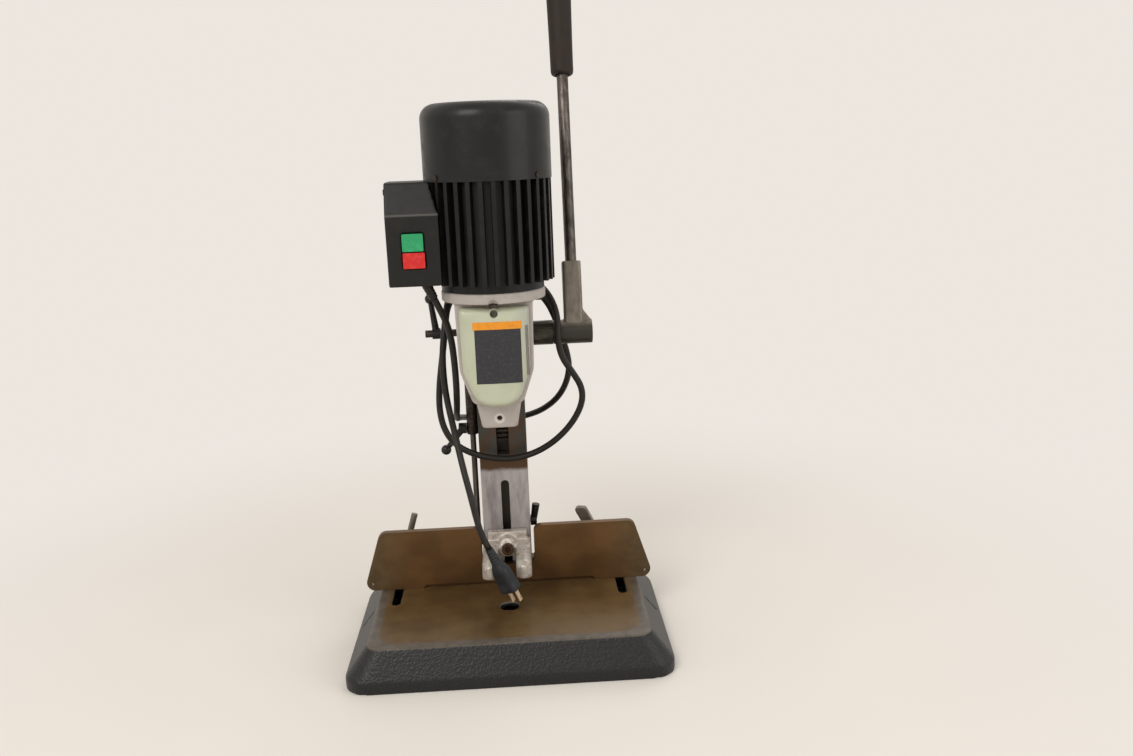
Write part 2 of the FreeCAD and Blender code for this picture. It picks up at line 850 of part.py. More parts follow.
def make_casting_screws():
    """Socket screws of the front cover, the keepers and the gas spring bridge."""
    screws = []
    for place, direction in casting_screw_places():
        stand = cover_seat if direction.y > 0 else keeper_back - column_back
        screws.append(socket_screw(place, direction, stand, screw_length))
    for side in (-1, 1):
        for z in bridge_screw_heights:
            seat = V(side * bridge_screw_x, keeper_back, z)
            screws.append(socket_screw(seat, y_axis * -1, bridge_thickness, keeper_thickness / 2))
    save("casting_screws", *screws)


cover_seat = cover_wall


def make_gib():
    """Flat gib strip between the head's left cheek and the column."""
    low_x = -column_half - slide_gap - gib_thickness
    gib = block((low_x, -column_half - slide_gap), (column_front + gib_inset, column_back - gib_inset),
                (sleeve_top + gib_inset, head_top - gib_inset))
    save("gib_strip", gib)


def make_chisel_screw():
    """Socket set screw in the nose that clamps the chisel's shank."""
    screw = bar(nose_screw_radius, V(0, nose_front + screw_radius, nose_screw_z),
                V(0, drive_y - nose_bore_radius, nose_screw_z))
    socket = bar(nose_screw_radius / 2, V(0, nose_front, nose_screw_z),
                 V(0, nose_front + 2 * screw_radius, nose_screw_z))
    save("chisel_set_screw", screw.cut(socket))


def make_front_cover():
    """Domed pressed cover over the chuck room, hollow behind, with one screw seat."""
    radii = cover_corners
    outline = head_outline(cover_half_top, cover_half_low, cover_top, cover_shoulder, cover_bottom,
                           cover_throat_half)
    front = head_front - cover_depth
    body = front_slab(outline, radii, (front, head_front))
    rim = [e for e in body.Edges if abs(e.BoundBox.YMax - front) < slide_gap and e.BoundBox.YLength < slide_gap]
    body = body.makeFillet(cover_round, rim)
    inner = head_outline(cover_half_top - 2 * cover_wall, cover_half_low - 2 * cover_wall,
                         cover_top - 2 * cover_wall, cover_shoulder, cover_bottom + 2 * cover_wall,
                         cover_throat_half - cover_wall)
    body = body.cut(front_slab(inner, radii, (front + cover_wall, head_front + overrun)))
    seat = bar(screw_head_radius + air_gap, V(0, front - overrun, cover_screw_z),
               V(0, head_front - cover_seat, cover_screw_z))
    pad = bar(screw_head_radius + cover_wall, V(0, front + cover_wall / 2, cover_screw_z),
              V(0, head_front, cover_screw_z))
    pad = pad.common(front_slab(outline, radii, (front, head_front)))
    body = joined([body, pad]).cut(seat)
    body = body.cut(bar(screw_radius + air_gap, V(0, front, cover_screw_z),
                        V(0, head_front + overrun, cover_screw_z)))
    save("front_cover", body)


cover_throat_half = 24.0
cover_corners = (4.0, 30.0, 28.0, 28.0, 30.0, 4.0)


# Depth stop and gas spring
def make_depth_stop():
    """Sleeve under the head's left cheek, a rod standing in the column foot and a collar on the rod."""
    centre_top = V(stop_x_place, stop_y_place, sleeve_top)
    centre_low = V(stop_x_place, stop_y_place, sleeve_bottom)
    sleeve = bar(sleeve_radius, centre_low, centre_top)
    sleeve = sleeve.cut(bar(stop_rod_radius + air_gap, centre_low - z_axis * overrun, centre_top + z_axis * overrun))
    sleeve = sleeve.cut(bar(lock_stud_radius, V(stop_x_place - sleeve_radius - overrun, stop_y_place, depth_lock_z),
                            V(stop_x_place, stop_y_place, depth_lock_z)))
    save("depth_stop_sleeve", sleeve)
    rod = bar(stop_rod_radius, V(stop_x_place, stop_y_place, base_height),
              V(stop_x_place, stop_y_place, stop_rod_top))
    save("depth_stop_rod", rod)
    low = V(stop_x_place, stop_y_place, collar_bottom)
    high = V(stop_x_place, stop_y_place, collar_bottom + collar_height)
    collar = bar(collar_radius, low, high).cut(bar(stop_rod_radius + shaft_gap, low - z_axis * overrun, high + z_axis * overrun))
    save("depth_stop_collar", collar)


sleeve_top_rise = -27.0
sleeve_top = pinion_z + sleeve_top_rise
lock_stud_radius = 2.5
depth_lock_z = sleeve_bottom + 8.0


def make_gas_spring():
    """Gas spring in the column's rear channel: its rod stands in the column, its tube hangs on a bridge."""
    low = V(0, strut_y, strut_bottom)
    high = V(0, strut_y, strut_bottom + strut_length)
    tube = bar(strut_radius, low, high)
    bore = bar(strut_radius - strut_wall, low + z_axis * strut_wall, high - z_axis * strut_wall)
    guide = bar(strut_rod_radius + shaft_gap, low - z_axis * overrun, low + z_axis * 2 * overrun)
    save("gas_spring_tube", tube.cut(bore).cut(guide))
    rod = bar(strut_rod_radius, V(0, strut_y, channel_bottom - strut_foot_depth), low + z_axis * strut_rest_depth)
    piston_low = low + z_axis * strut_rest_depth
    piston = bar(strut_radius - strut_wall - shaft_gap, piston_low, piston_low + z_axis * piston_height)
    save("gas_spring_rod", joined([rod, piston]))
    bridge = block((-head_half_low + keeper_overlap, head_half_low - keeper_overlap),
                   (keeper_back, keeper_back + bridge_thickness), (bridge_top - bridge_height, bridge_top))
    arm = block((-bridge_arm_half, bridge_arm_half), (strut_y - strut_radius, keeper_back + bridge_thickness),
                (strut_bottom + strut_length, bridge_top))
    bridge = joined([bridge, arm])
    for side in (-1, 1):
        for z in bridge_screw_heights:
            bridge = bridge.cut(bar(screw_radius + air_gap, V(side * bridge_screw_x, keeper_back - overrun, z),
                                    V(side * bridge_screw_x, keeper_back + bridge_thickness + overrun, z)))
    save("gas_spring_bridge", bridge)


strut_rest_depth = 12.0
bridge_arm_half = 9.0


# Motor
def make_motor_shell():
    """End bell, finned frame and fan cover of the motor."""
    shaft_hole = bar(shaft_radius + air_gap, V(0, drive_y, bell_bottom - overrun), V(0, drive_y, frame_top))
    seat_top = bell_bottom + bell_height + bearing_width - 2 * overrun
    bell = joined([bar(bell_radius, V(0, drive_y, bell_bottom), V(0, drive_y, frame_bottom)),
                   bar(bearing_outer + 2 * overrun, V(0, drive_y, frame_bottom), V(0, drive_y, seat_top))])
    bell = bell.cut(bar(bearing_outer, V(0, drive_y, seat_top - bearing_width), V(0, drive_y, seat_top + overrun)))
    bell = bell.cut(shaft_hole)
    for angle in motor_bolt_angles:
        bell = bell.cut(motor_bolt(angle, seat_gap, bell_bottom - overrun, frame_bottom - overrun))
    save("motor_end_bell", bell)
    fins = []
    for index in range(fin_count):
        fin = block((frame_radius - overrun, fin_radius + overrun), (-fin_thickness / 2, fin_thickness / 2),
                    (frame_bottom, frame_top))
        fins.append(turned(fin, 360.0 * (index + 0.5) / fin_count, V(0, 0, 0), z_axis))
    frame = bar(frame_radius, V(0, 0, frame_bottom), V(0, 0, frame_top)).fuse(fins)
    frame = frame.common(bar(fin_radius, V(0, 0, frame_bottom), V(0, 0, frame_top)))
    plate = bar(frame_radius, V(0, 0, frame_top), V(0, 0, frame_top + bearing_width))
    hub = bar(bearing_outer + 2 * overrun, V(0, 0, frame_top), V(0, 0, frame_top + bearing_width))
    frame = frame.cut(bar(frame_bore_radius, V(0, 0, frame_bottom - overrun), V(0, 0, frame_top - 2 * overrun)))
    frame = joined([frame, hub.common(plate)])
    frame = frame.cut(bar(bearing_outer, V(0, 0, frame_top), V(0, 0, frame_top + bearing_width + overrun)))
    frame = frame.cut(bar(shaft_radius + air_gap, V(0, 0, frame_bottom), V(0, 0, frame_top + overrun)))
    spigot = bar(cap_radius - cap_wall - rub_gap, V(0, 0, frame_top), V(0, 0, frame_top + spigot_height))
    spigot = spigot.cut(bar(frame_radius - spigot_wall, V(0, 0, frame_top), V(0, 0, frame_top + spigot_height)))
    frame = joined([frame, spigot])
    for angle in cap_screw_angles:
        frame = frame.cut(cap_screw_hole(angle))
    frame.translate(V(0, drive_y, 0))
    save("motor_frame", frame.removeSplitter())


cap_screw_angles = (40, 140, 220, 320)
cap_screw_radius = 2.0
cap_screw_head = 3.6
cap_skirt = 5.0
spigot_height = 10.0
spigot_wall = 3.0


def cap_screw_hole(angle):
    """Radial screw hole through the spigot and the fan cover, drawn about the motor's own axis."""
    way = V(math.cos(math.radians(angle)), math.sin(math.radians(angle)), 0)
    centre = V(0, 0, frame_top + cap_skirt)
    return bar(cap_screw_radius, centre + way * (cap_radius - 2 * cap_wall), centre + way * (cap_radius + overrun))


def make_fan_cover():
    """Deep cap over the fan: round shoulder, radial vents on top, its skirt over the fins' ends."""
    low = frame_top
    outer = bar(cap_radius, V(0, drive_y, low), V(0, drive_y, cap_top))
    rim = [e for e in outer.Edges if abs(e.BoundBox.ZMin - cap_top) < slide_gap]
    outer = outer.makeFillet(cap_round, rim)
    inner = bar(cap_radius - cap_wall, V(0, drive_y, low - overrun), V(0, drive_y, cap_top - cap_wall))
    rim = [e for e in inner.Edges if abs(e.BoundBox.ZMin - (cap_top - cap_wall)) < slide_gap]
    inner = inner.makeFillet(cap_round - cap_wall, rim)
    cover = outer.cut(inner)
    vents = []
    for index in range(vent_count):
        vent = post((vent_inner_radius, vent_outer_radius), (-vent_width / 2, vent_width / 2),
                    (cap_top - 2 * cap_wall, cap_top + overrun), vent_width * full_round)
        vent = turned(vent, 360.0 * index / vent_count, V(0, 0, 0), z_axis)
        vent.translate(V(0, drive_y, 0))
        vents.append(vent)
    screws = []
    for angle in cap_screw_angles:
        a = math.radians(angle)
        way = V(math.cos(a), math.sin(a), 0)
        start = V(0, drive_y, low + cap_skirt)
        stub = bar(cap_screw_radius, start + way * (cap_radius - 2 * cap_wall), start + way * cap_radius)
        head = bar(cap_screw_head, start + way * cap_radius, start + way * (cap_radius + cap_screw_rise))
        screws.append(joined([stub, head]))
        hole = cap_screw_hole(angle)
        hole.translate(V(0, drive_y, 0))
        cover = cover.cut(hole)
    save("fan_cover", cover.cut(vents))
    return screws


cap_screw_rise = 1.6


def make_motor_inside():
    """Stator stack, its two windings, the two ball bearings and the bolts under the bell."""
    middle = (frame_bottom + frame_top) / 2
    low = middle - stator_height / 2
    high = middle + stator_height / 2
    stack = bar(stator_radius, V(0, drive_y, low), V(0, drive_y, high))
    save("motor_stator", stack.cut(bar(stator_bore, V(0, drive_y, low - overrun), V(0, drive_y, high + overrun))))
    rings = []
    for start in (low - winding_height, high):
        ring = bar(stator_bore + winding_wall + overrun, V(0, drive_y, start), V(0, drive_y, start + winding_height))
        rings.append(ring.cut(bar(stator_bore + overrun, V(0, drive_y, start - overrun),
                                  V(0, drive_y, start + winding_height + overrun))))
    save("motor_windings", *rings)
    races = []
    for start in bearing_places:
        race = bar(bearing_outer, V(0, drive_y, start), V(0, drive_y, start + bearing_width))
        races.append(race.cut(bar(shaft_radius + shaft_gap, V(0, drive_y, start - overrun),
                                  V(0, drive_y, start + bearing_width + overrun))))
    save("motor_bearings", *races)
    bolts = []
    for angle in motor_bolt_angles:
        shank = motor_bolt(angle, seat_gap, head_top, frame_bottom - overrun)
        head = motor_bolt(angle, overrun, head_top - bolt_head_height, head_top)
        bolts.append(joined([shank, head]))
    save("motor_bolts", *bolts)


bolt_head_height = 5.0
bearing_places = (bell_bottom + bell_height - 2 * overrun, frame_top)


# Spindle: everything that turns on the drive axis
def make_spindle():
    """Rotor shaft, rotor core, cooling fan, chuck body and three chuck jaws."""
    shaft_top = cap_top - cap_wall - fan_top_gap
    shaft = bar(shaft_radius, V(0, drive_y, chuck_top - spindle_socket), V(0, drive_y, shaft_top))
    save("rotor_shaft", shaft)
    middle = (frame_bottom + frame_top) / 2
    core = bar(rotor_radius, V(0, drive_y, middle - stator_height / 2), V(0, drive_y, middle + stator_height / 2))
    save("rotor_core", core.cut(bar(shaft_radius, V(0, drive_y, frame_bottom), V(0, drive_y, frame_top))))
    fan_low = frame_top + bearing_width + fan_gap
    plate = bar(fan_radius, V(0, 0, fan_low), V(0, 0, fan_low + fan_plate))
    hub = bar(fan_hub_radius, V(0, 0, fan_low), V(0, 0, fan_low + fan_plate + fan_blade_height))
    blades = []
    for index in range(fan_blades):
        blade = block((fan_hub_radius - overrun, fan_radius - overrun), (-fan_plate / 2, fan_plate / 2),
                      (fan_low + fan_plate / 2, fan_low + fan_plate + fan_blade_height))
        blades.append(turned(blade, 360.0 * index / fan_blades, V(0, 0, 0), z_axis))
    fan = joined([plate, hub] + blades)
    fan = fan.cut(bar(shaft_radius, V(0, 0, fan_low - overrun), V(0, 0, cap_top)))
    fan.translate(V(0, drive_y, 0))
    save("cooling_fan", fan)
    body = bar(chuck_radius, V(0, drive_y, chuck_bottom + chuck_nose), V(0, drive_y, chuck_top))
    nose = taper(chuck_radius * chuck_nose_share, chuck_radius, V(0, drive_y, chuck_bottom),
                 V(0, drive_y, chuck_bottom + chuck_nose))
    body = joined([body, nose])
    body = body.cut(bar(shaft_radius, V(0, drive_y, chuck_top - spindle_socket), V(0, drive_y, chuck_top + overrun)))
    body = body.cut(bar(jaw_radius + rub_gap, V(0, drive_y, chuck_bottom - overrun),
                        V(0, drive_y, chuck_top - spindle_socket - overrun)))
    save("chuck_body", body)
    jaws = []
    ring = bar(jaw_radius, V(0, 0, chuck_bottom - chuck_jaw_length), V(0, 0, chuck_bottom + jaw_rise))
    ring = ring.cut(bar(jaw_bore, V(0, 0, chuck_bottom - 2 * chuck_jaw_length), V(0, 0, chuck_top)))
    for index in range(jaw_count):
        wedge = side_wedge(360 / jaw_count * index, jaw_spread_angle)
        jaw = ring.common(wedge)
        jaw.translate(V(0, drive_y, 0))
        jaws.append(jaw)
    save("chuck_jaws", *jaws)


fan_gap = 4.0
fan_top_gap = 8.0
chuck_nose = 12.0
chuck_nose_share = 0.72
jaw_count = 3
jaw_spread_angle = 110.0
jaw_radius = 8.0
jaw_bore = 3.0
jaw_rise = 18.0


def side_wedge(angle, spread):
    """Wedge about the drive axis used to part the chuck's jaws."""
    reach = 2 * chuck_radius
    low = math.radians(angle - spread / 2)
    high = math.radians(angle + spread / 2)
    bottom = chuck_bottom - 2 * chuck_jaw_length
    points = [V(0, 0, bottom), V(reach * math.cos(low), reach * math.sin(low), bottom),
              V(reach * math.cos(math.radians(angle)), reach * math.sin(math.radians(angle)), bottom),
              V(reach * math.cos(high), reach * math.sin(high), bottom)]
    return rounded_face(points, [0] * len(points)).extrude(V(0, 0, chuck_top - bottom))


# Switch box
def switch_outline(inset, top):
    """Side view of the switch box: upright front with a top that slopes back."""
    front = box_front + inset
    return [(front, box_bottom + inset), (front, box_crease - inset / 5),
            (front + box_slope_depth, top), (box_back - inset, top), (box_back - inset, box_bottom + inset)]


def make_switch_box():
    """Switch box in a front cover and a rear base, hollow, hugging the motor; its saddle and screws."""
    radii = [box_round] * 5
    outer = side_slab(switch_outline(0, box_top), radii, (box_left, box_right))
    outer = outer.cut(bar(motor_clear, V(0, drive_y, box_bottom - overrun), V(0, drive_y, box_top + overrun)))
    inner = side_slab(switch_outline(box_wall, box_top - box_wall), [0] * 5,
                      (box_left + box_wall, box_right - box_wall))
    inner = inner.cut(bar(motor_clear + box_wall, V(0, drive_y, box_bottom - overrun),
                          V(0, drive_y, box_top + overrun)))
    shell = outer.cut(inner)
    x_all = (box_left - overrun, box_right + overrun)
    z_all = (box_bottom - overrun, box_top + overrun)
    cover = shell.common(block(x_all, (box_front - overrun, box_split - rub_gap / 2), z_all))
    rear = shell.common(block(x_all, (box_split + rub_gap / 2, box_back + overrun), z_all))
    for x, z, width, height in button_places:
        cover = cover.cut(post_front(x, z, width / 2 + button_gap, height / 2 + button_gap,
                                     (box_front - overrun, box_front + 2 * box_wall)))
    tabs = []
    for z in box_screw_heights:
        tab = block((box_left + box_wall, box_left + 2 * box_wall),
                    (box_split - 2 * tab_reach, box_split + tab_reach), (z - tab_reach, z + tab_reach))
        tabs.append(tab)
        hole = bar(cap_screw_radius, V(box_left - overrun, box_split - tab_reach, z),
                   V(box_left + 3 * box_wall, box_split - tab_reach, z))
        cover = cover.cut(hole)
    rear = joined([rear] + tabs)
    for z in box_screw_heights:
        rear = rear.cut(bar(cap_screw_radius, V(box_left - overrun, box_split - tab_reach, z),
                            V(box_left + 3 * box_wall, box_split - tab_reach, z)))
    save("switch_box_cover", cover)
    save("switch_box_base", rear)
    ring = bar(motor_clear - rub_gap, V(0, drive_y, saddle_bottom), V(0, drive_y, saddle_top))
    ring = ring.cut(bar(fin_radius + rub_gap, V(0, drive_y, saddle_bottom - overrun),
                        V(0, drive_y, saddle_top + overrun)))
    save("switch_box_saddle", ring.common(block((box_left, box_right - 2 * overrun), (box_split, 0),
                                                (saddle_bottom, saddle_top))))
    screws = []
    for z in box_screw_heights:
        stub = bar(cap_screw_radius, V(box_left, box_split - tab_reach, z),
                   V(box_left + 2 * box_wall, box_split - tab_reach, z))
        head = bar(cap_screw_head, V(box_left - cap_screw_rise, box_split - tab_reach, z),
                   V(box_left, box_split - tab_reach, z))
        screws.append(joined([stub, head]))
    return screws


motor_clear = cap_radius + box_motor_gap
tab_reach = 5.0
box_screw_heights = (576.0, 606.0)
saddle_bottom_rise = 21.0
saddle_bottom = box_bottom + saddle_bottom_rise
saddle_top_rise = 101.0
saddle_top = box_bottom + saddle_top_rise
button_places = ((start_x, start_z, start_width, start_height), (stop_x, stop_z, stop_width, stop_height))


def post_front(x, z, half_width, half_height, y_span):
    """Rounded bar along Y with a rectangular front."""
    points = [(x - half_width, z - half_height), (x + half_width, z - half_height),
              (x + half_width, z + half_height), (x - half_width, z + half_height)]
    return front_slab(points, [button_round] * 4, y_span)


def make_buttons():
    """Start and stop buttons and the contact block behind them."""
    names = ("start_button", "stop_button")
    back = box_front + button_inside
    for name, place in zip(names, button_places):
        x, z, width, height = place
        save(name, post_front(x, z, width / 2, height / 2, (box_front - button_stand, back)))
    front = back + button_travel + rub_gap
    middle_z = (start_z + stop_z) / 2
    module = block((start_x - module_width / 2, start_x + module_width / 2), (front, box_split + module_depth),
                   (middle_z - module_height / 2, middle_z + module_height / 2))
    foot = block((box_left + box_wall, start_x), (box_split + tab_reach, box_split + module_depth),
                 (middle_z - module_height / 4, middle_z + module_height / 4))
    module = joined([module, foot])
    motor_side = bar(motor_clear + box_wall + air_gap, V(0, drive_y, box_bottom), V(0, drive_y, box_top))
    save("switch_module", module.cut(motor_side))


button_inside = 9.0


def make_gland():
    """Tapered strain relief under the switch box."""
    gland = taper(gland_radius_top, gland_radius_low, gland_start, cord_route[0])
    flat = block((box_left, box_right), (box_front, box_back), (box_bottom, box_top))
    save("cord_gland", gland.cut(flat))


# Feed lever
def make_lever():
    """Lever hub with its arm, the cross pin, the rod and the grip, leaning back at rest."""
    hub = bar(barrel_radius, V(barrel_end + hub_gap, pinion_y, pinion_z), V(hub_end, pinion_y, pinion_z))
    x_span = (lever_x - arm_width / 2, lever_x + arm_width / 2)
    arm = post(x_span, (pinion_y - arm_depth / 2, pinion_y + arm_depth / 2), (pinion_z, pinion_z + arm_reach),
               arm_round)
    gusset = front_slab([(x_span[1] - arm_round, pinion_z + gusset_rise), (hub_end, pinion_z + gusset_low),
                         (x_span[1] - 2 * arm_round, pinion_z)], [0, 0, 0],
                        (pinion_y - arm_depth / 3, pinion_y + arm_depth / 3))
    body = joined([hub, arm, gusset])
    shaft_room = bar(pinion_shaft_radius + shaft_gap, V(barrel_end, pinion_y, pinion_z),
                     V(hub_end - hub_blind, pinion_y, pinion_z))
    socket = bar(lever_rod_radius, V(lever_x, pinion_y, pinion_z + arm_reach - socket_depth),
                 V(lever_x, pinion_y, pinion_z + arm_reach + overrun))
    body = turned(body.cut([shaft_room, socket]), -lever_lean, pinion_centre, x_axis)
    save("lever_hub", body.cut(hub_pin(seat_gap)))
    save("hub_pin", hub_pin(seat_gap))
    rod = bar(lever_rod_radius, V(lever_x, pinion_y, pinion_z + arm_reach - socket_depth),
              V(lever_x, pinion_y, pinion_z + grip_end - grip_cap))
    save("lever_rod", turned(rod, -lever_lean, pinion_centre, x_axis))
    low = V(lever_x, pinion_y, pinion_z + grip_start)
    high = V(lever_x, pinion_y, pinion_z + grip_end)
    grip = taper(grip_radius_low, grip_radius_high, low, high)
    tip = [e for e in grip.Edges if abs(e.BoundBox.ZMin - high.z) < slide_gap]
    rim = [e for e in grip.Edges if abs(e.BoundBox.ZMax - low.z) < slide_gap]
    grip = grip.makeFillet(grip_tip_round, tip)
    rim = [e for e in grip.Edges if abs(e.BoundBox.ZMax - low.z) < slide_gap]
    grip = grip.makeFillet(arm_round / 2, rim)
    bore = bar(lever_rod_radius, low - z_axis * overrun, high - z_axis * grip_cap)
    save("lever_grip", turned(grip.cut(bore), -lever_lean, pinion_centre, x_axis))


gusset_rise = 34.0
gusset_low = 12.8
socket_depth = 34.0
grip_cap = 14.0
grip_tip_round = 12.0


# Small ball levers
def ball_lever(boss_start, boss_end, ball_centre):
    """Lever with a round boss and a tapering arm that ends in a ball, the arm and ball turned as one."""
    middle = (boss_start + boss_end) * 0.5
    way = ball_centre - middle
    neck = way.Length - math.sqrt(ball_radius ** 2 - lever_arm_radius_high ** 2)
    low, foot = V(0, 0, 0), V(lever_arm_radius_low, 0, 0)
    shoulder, waist = V(lever_arm_radius_high, 0, neck), V(ball_radius, 0, way.Length)
    tip = V(0, 0, way.Length + ball_radius)
    edges = [Part.LineSegment(low, foot), Part.LineSegment(foot, shoulder), Part.Arc(shoulder, waist, tip),
             Part.LineSegment(tip, low)]
    face = Part.Face(Part.Wire([edge.toShape() for edge in edges]))
    arm = Part.makeSolid(face.revolve(low, z_axis, 360))
    arm.Placement = FreeCAD.Placement(middle, FreeCAD.Rotation(z_axis, way))
    return joined([bar(lever_boss_radius, boss_start, boss_end), arm])


def make_clamp_levers():
    """Head lock on the left cheek, depth lock on the sleeve and thumb lever on the column's side."""
    stud_line = [V(x, head_lock_y, head_lock_z) for x in (head_lock_stud_end, -column_half - gib_thickness
                                                          - 2 * slide_gap)]
    save("head_lock_stud", bar(head_lock_stud_radius, stud_line[0], stud_line[1]))
    start = V(head_lock_x - lever_boss_length / 2, head_lock_y, head_lock_z)
    end = V(head_lock_x + lever_boss_length / 2, head_lock_y, head_lock_z)
    lever = ball_lever(start, end, V(head_lock_x - head_lock_splay, head_lock_y, head_lock_z + head_lock_reach))
    save("head_lock_lever", lever.cut(bar(head_lock_stud_radius + shaft_gap, stud_line[0] - x_axis * overrun, stud_line[1])))
    left = stop_x_place - sleeve_radius - rub_gap
    boss_start = V(left - lever_boss_length, stop_y_place, depth_lock_z)
    boss_end = V(left, stop_y_place, depth_lock_z)
    lever = ball_lever(boss_start, boss_end, boss_start + depth_lock_way)
    stud = bar(lock_stud_radius - shaft_gap, boss_end, V(stop_x_place - stop_rod_radius - air_gap,
                                                         stop_y_place, depth_lock_z))
    save("depth_lock_lever", joined([lever, stud]))
    boss_start = V(column_half + rub_gap, thumb_y, thumb_z)
    boss_end = V(column_half + rub_gap + thumb_boss_length, thumb_y, thumb_z)
    arm = taper(thumb_arm_radius_low, thumb_arm_radius_high, (boss_start + boss_end) * 0.5,
                V(column_half + thumb_boss_length, thumb_y, thumb_z + thumb_reach))
    stud = bar(thumb_stud_radius - shaft_gap, V(column_half - column_width / 5, thumb_y, thumb_z), boss_start)
    save("hold_down_lock", joined([bar(lever_boss_radius, boss_start, boss_end), arm, stud]))


head_lock_splay = 6.0
depth_lock_way = V(-18, -18, -25)
thumb_boss_length = 9.0
thumb_arm_radius_low = 4.5
thumb_arm_radius_high = 5.5


# Hold-down
def prong(x_span):
    """One arm of the hold-down fork, with a toe at its end."""
    back = column_front - slide_gap
    toe_back = prong_reach + prong_toe
    outline = [(back, fork_top), (prong_reach + prong_toe / 2, fork_top),
               (prong_reach, fork_top - prong_relief), (prong_reach, fork_bottom), (toe_back, fork_bottom),
               (toe_back + prong_relief, fork_bottom + prong_relief), (back, fork_bottom + prong_relief)]
    return side_slab(outline, [0, prong_relief, prong_relief / 2, 0, 0, 0, 0], x_span)


def make_hold_down():
    """Fork that slides on the column's face, with its clamp bolt and T nut."""
    back = column_front - slide_gap
    plate = block((-fork_half, fork_half), (back - fork_back_thickness, back), (fork_bottom, fork_plate_top))
    plate = joined([plate, prong(prong_left_span), prong(prong_right_span)])
    boss = bar(boss_radius, V(0, boss_front, boss_z), V(0, back - fork_back_thickness, boss_z))
    body = joined([plate, boss])
    body = body.cut(bar(clamp_bolt_radius + air_gap / 2, V(0, boss_front - overrun, boss_z),
                        V(0, back + overrun, boss_z)))
    save("hold_down_fork", body)
    nut_front = column_front + slot_depth + rub_gap
    nut = block((-clamp_nut_width / 2, clamp_nut_width / 2), (nut_front, nut_front + clamp_nut_thickness),
                (boss_z - clamp_nut_height / 2, boss_z + clamp_nut_height / 2))
    nut = nut.cut(bar(clamp_bolt_radius, V(0, nut_front - overrun, boss_z),
                      V(0, nut_front + clamp_nut_thickness + overrun, boss_z)))
    save("hold_down_nut", nut)
    shank = bar(clamp_bolt_radius, V(0, boss_front, boss_z), V(0, nut_front + clamp_nut_thickness, boss_z))
    head = bar(clamp_bolt_head_radius, V(0, boss_front - clamp_bolt_head_height, boss_z), V(0, boss_front, boss_z))
    socket = bar(clamp_bolt_head_radius / 2, V(0, boss_front - clamp_bolt_head_height - overrun, boss_z),
                 V(0, boss_front - overrun, boss_z))
    save("hold_down_bolt", joined([shank, head]).cut(socket))


# Fence
def make_fence():
    """Fence plate with slanted ends, a relieved lower edge and a notch; two brackets and bolts."""
    low = base_height + rub_gap
    top = base_height + fence_height
    relief = low + fence_relief_height
    half = fence_relief_half
    outline = [(-fence_half_bottom, low), (fence_half_bottom, low), (fence_half_top, top),
               (fence_notch_half, top), (fence_notch_half, fence_notch_bottom),
               (-fence_notch_half, fence_notch_bottom), (-fence_notch_half, top), (-fence_half_top, top)]
    edge = fence_corner
    notch = fence_notch_round
    back = fence_front + fence_thickness
    plate = front_slab(outline, [edge, edge, edge, notch, notch, notch, notch, edge], (fence_front, back))
    small = fence_relief_height / 2
    recess = [(-half, low - overrun), (half, low - overrun), (half, low), (half - fence_relief_height, relief),
              (-half + fence_relief_height, relief), (-half, low)]
    plate = plate.cut(front_slab(recess, [0, 0, 0, small, small, 0],
                                 (fence_front - overrun, fence_front + fence_relief_depth)))
    for side in (-1, 1):
        hole_x = side * (fence_half_bottom - fence_hole_inset)
        hole_z = low + fence_hole_rise
        plate = plate.cut(bar(fence_hole_radius, V(hole_x, fence_front - overrun, hole_z),
                              V(hole_x, back + overrun, hole_z)))
    save("fence_plate", plate)
    brackets = []
    bolts = []
    for side in (-1, 1):
        x = side * table_slot_x
        x_span = (x - bracket_width / 2, x + bracket_width / 2)
        foot = block(x_span, (back, back + bracket_reach), (base_height + slide_gap, foot_level))
        wall = block(x_span, (back, back + bracket_thickness), (base_height + slide_gap, base_height + bracket_height))
        bracket = joined([foot, wall])
        brackets.append(bracket.cut(bar(fence_bolt_radius + air_gap / 2, V(x, fence_bolt_y, base_height),
                                        V(x, fence_bolt_y, foot_level + overrun))))
        under = base_height - base_wall - rub_gap
        head = hexagon(fence_bolt_head_width, under - fence_bolt_head_height, fence_bolt_head_height,
                       x, fence_bolt_y)
        shank = bar(fence_bolt_radius, V(x, fence_bolt_y, under), V(x, fence_bolt_y, fence_lever_top))
        bolts.append(joined([head, shank]))
    save("fence_brackets", *brackets)
    save("fence_bolts", *bolts)


foot_level = base_height + bracket_thickness
fence_lever_top = foot_level + fence_lever_hub_height


def make_fence_levers():
    """Two clamp levers that turn on the fence bolts: a round rod on the left, a flat bar on the right."""
    for side, tip in ((-1, left_lever_tip), (1, right_lever_tip)):
        centre = V(side * table_slot_x, fence_bolt_y, foot_level + slide_gap)
        hub = bar(fence_lever_hub_radius, centre, centre + z_axis * (fence_lever_hub_height - slide_gap))
        root = centre + z_axis * (fence_lever_hub_height / 2)
        end = root + V(tip[0], tip[1], tip[2])
        if side < 0:
            arm = bar(left_lever_radius, root, end)
        else:
            way = V(tip[0], tip[1], 0).normalize()
            across = z_axis.cross(way) * (right_lever_depth / 2)
            half = right_lever_width / 2
            corners = [root - z_axis * half / 2 - across, root + way * half * 2 - z_axis * half / 2 - across,
                       end + way * half - across, end - way * half - across]
            arm = rounded_face(corners, [0, 0, half / 2, half / 2]).extrude(across * 2)
        lever = joined([hub, arm])
        lever = lever.cut(bar(fence_bolt_radius + shaft_gap, centre - z_axis * overrun,
                              centre + z_axis * (fence_lever_hub_height + bracket_height)))
        save("fence_lever_left" if side < 0 else "fence_lever_right", lever)


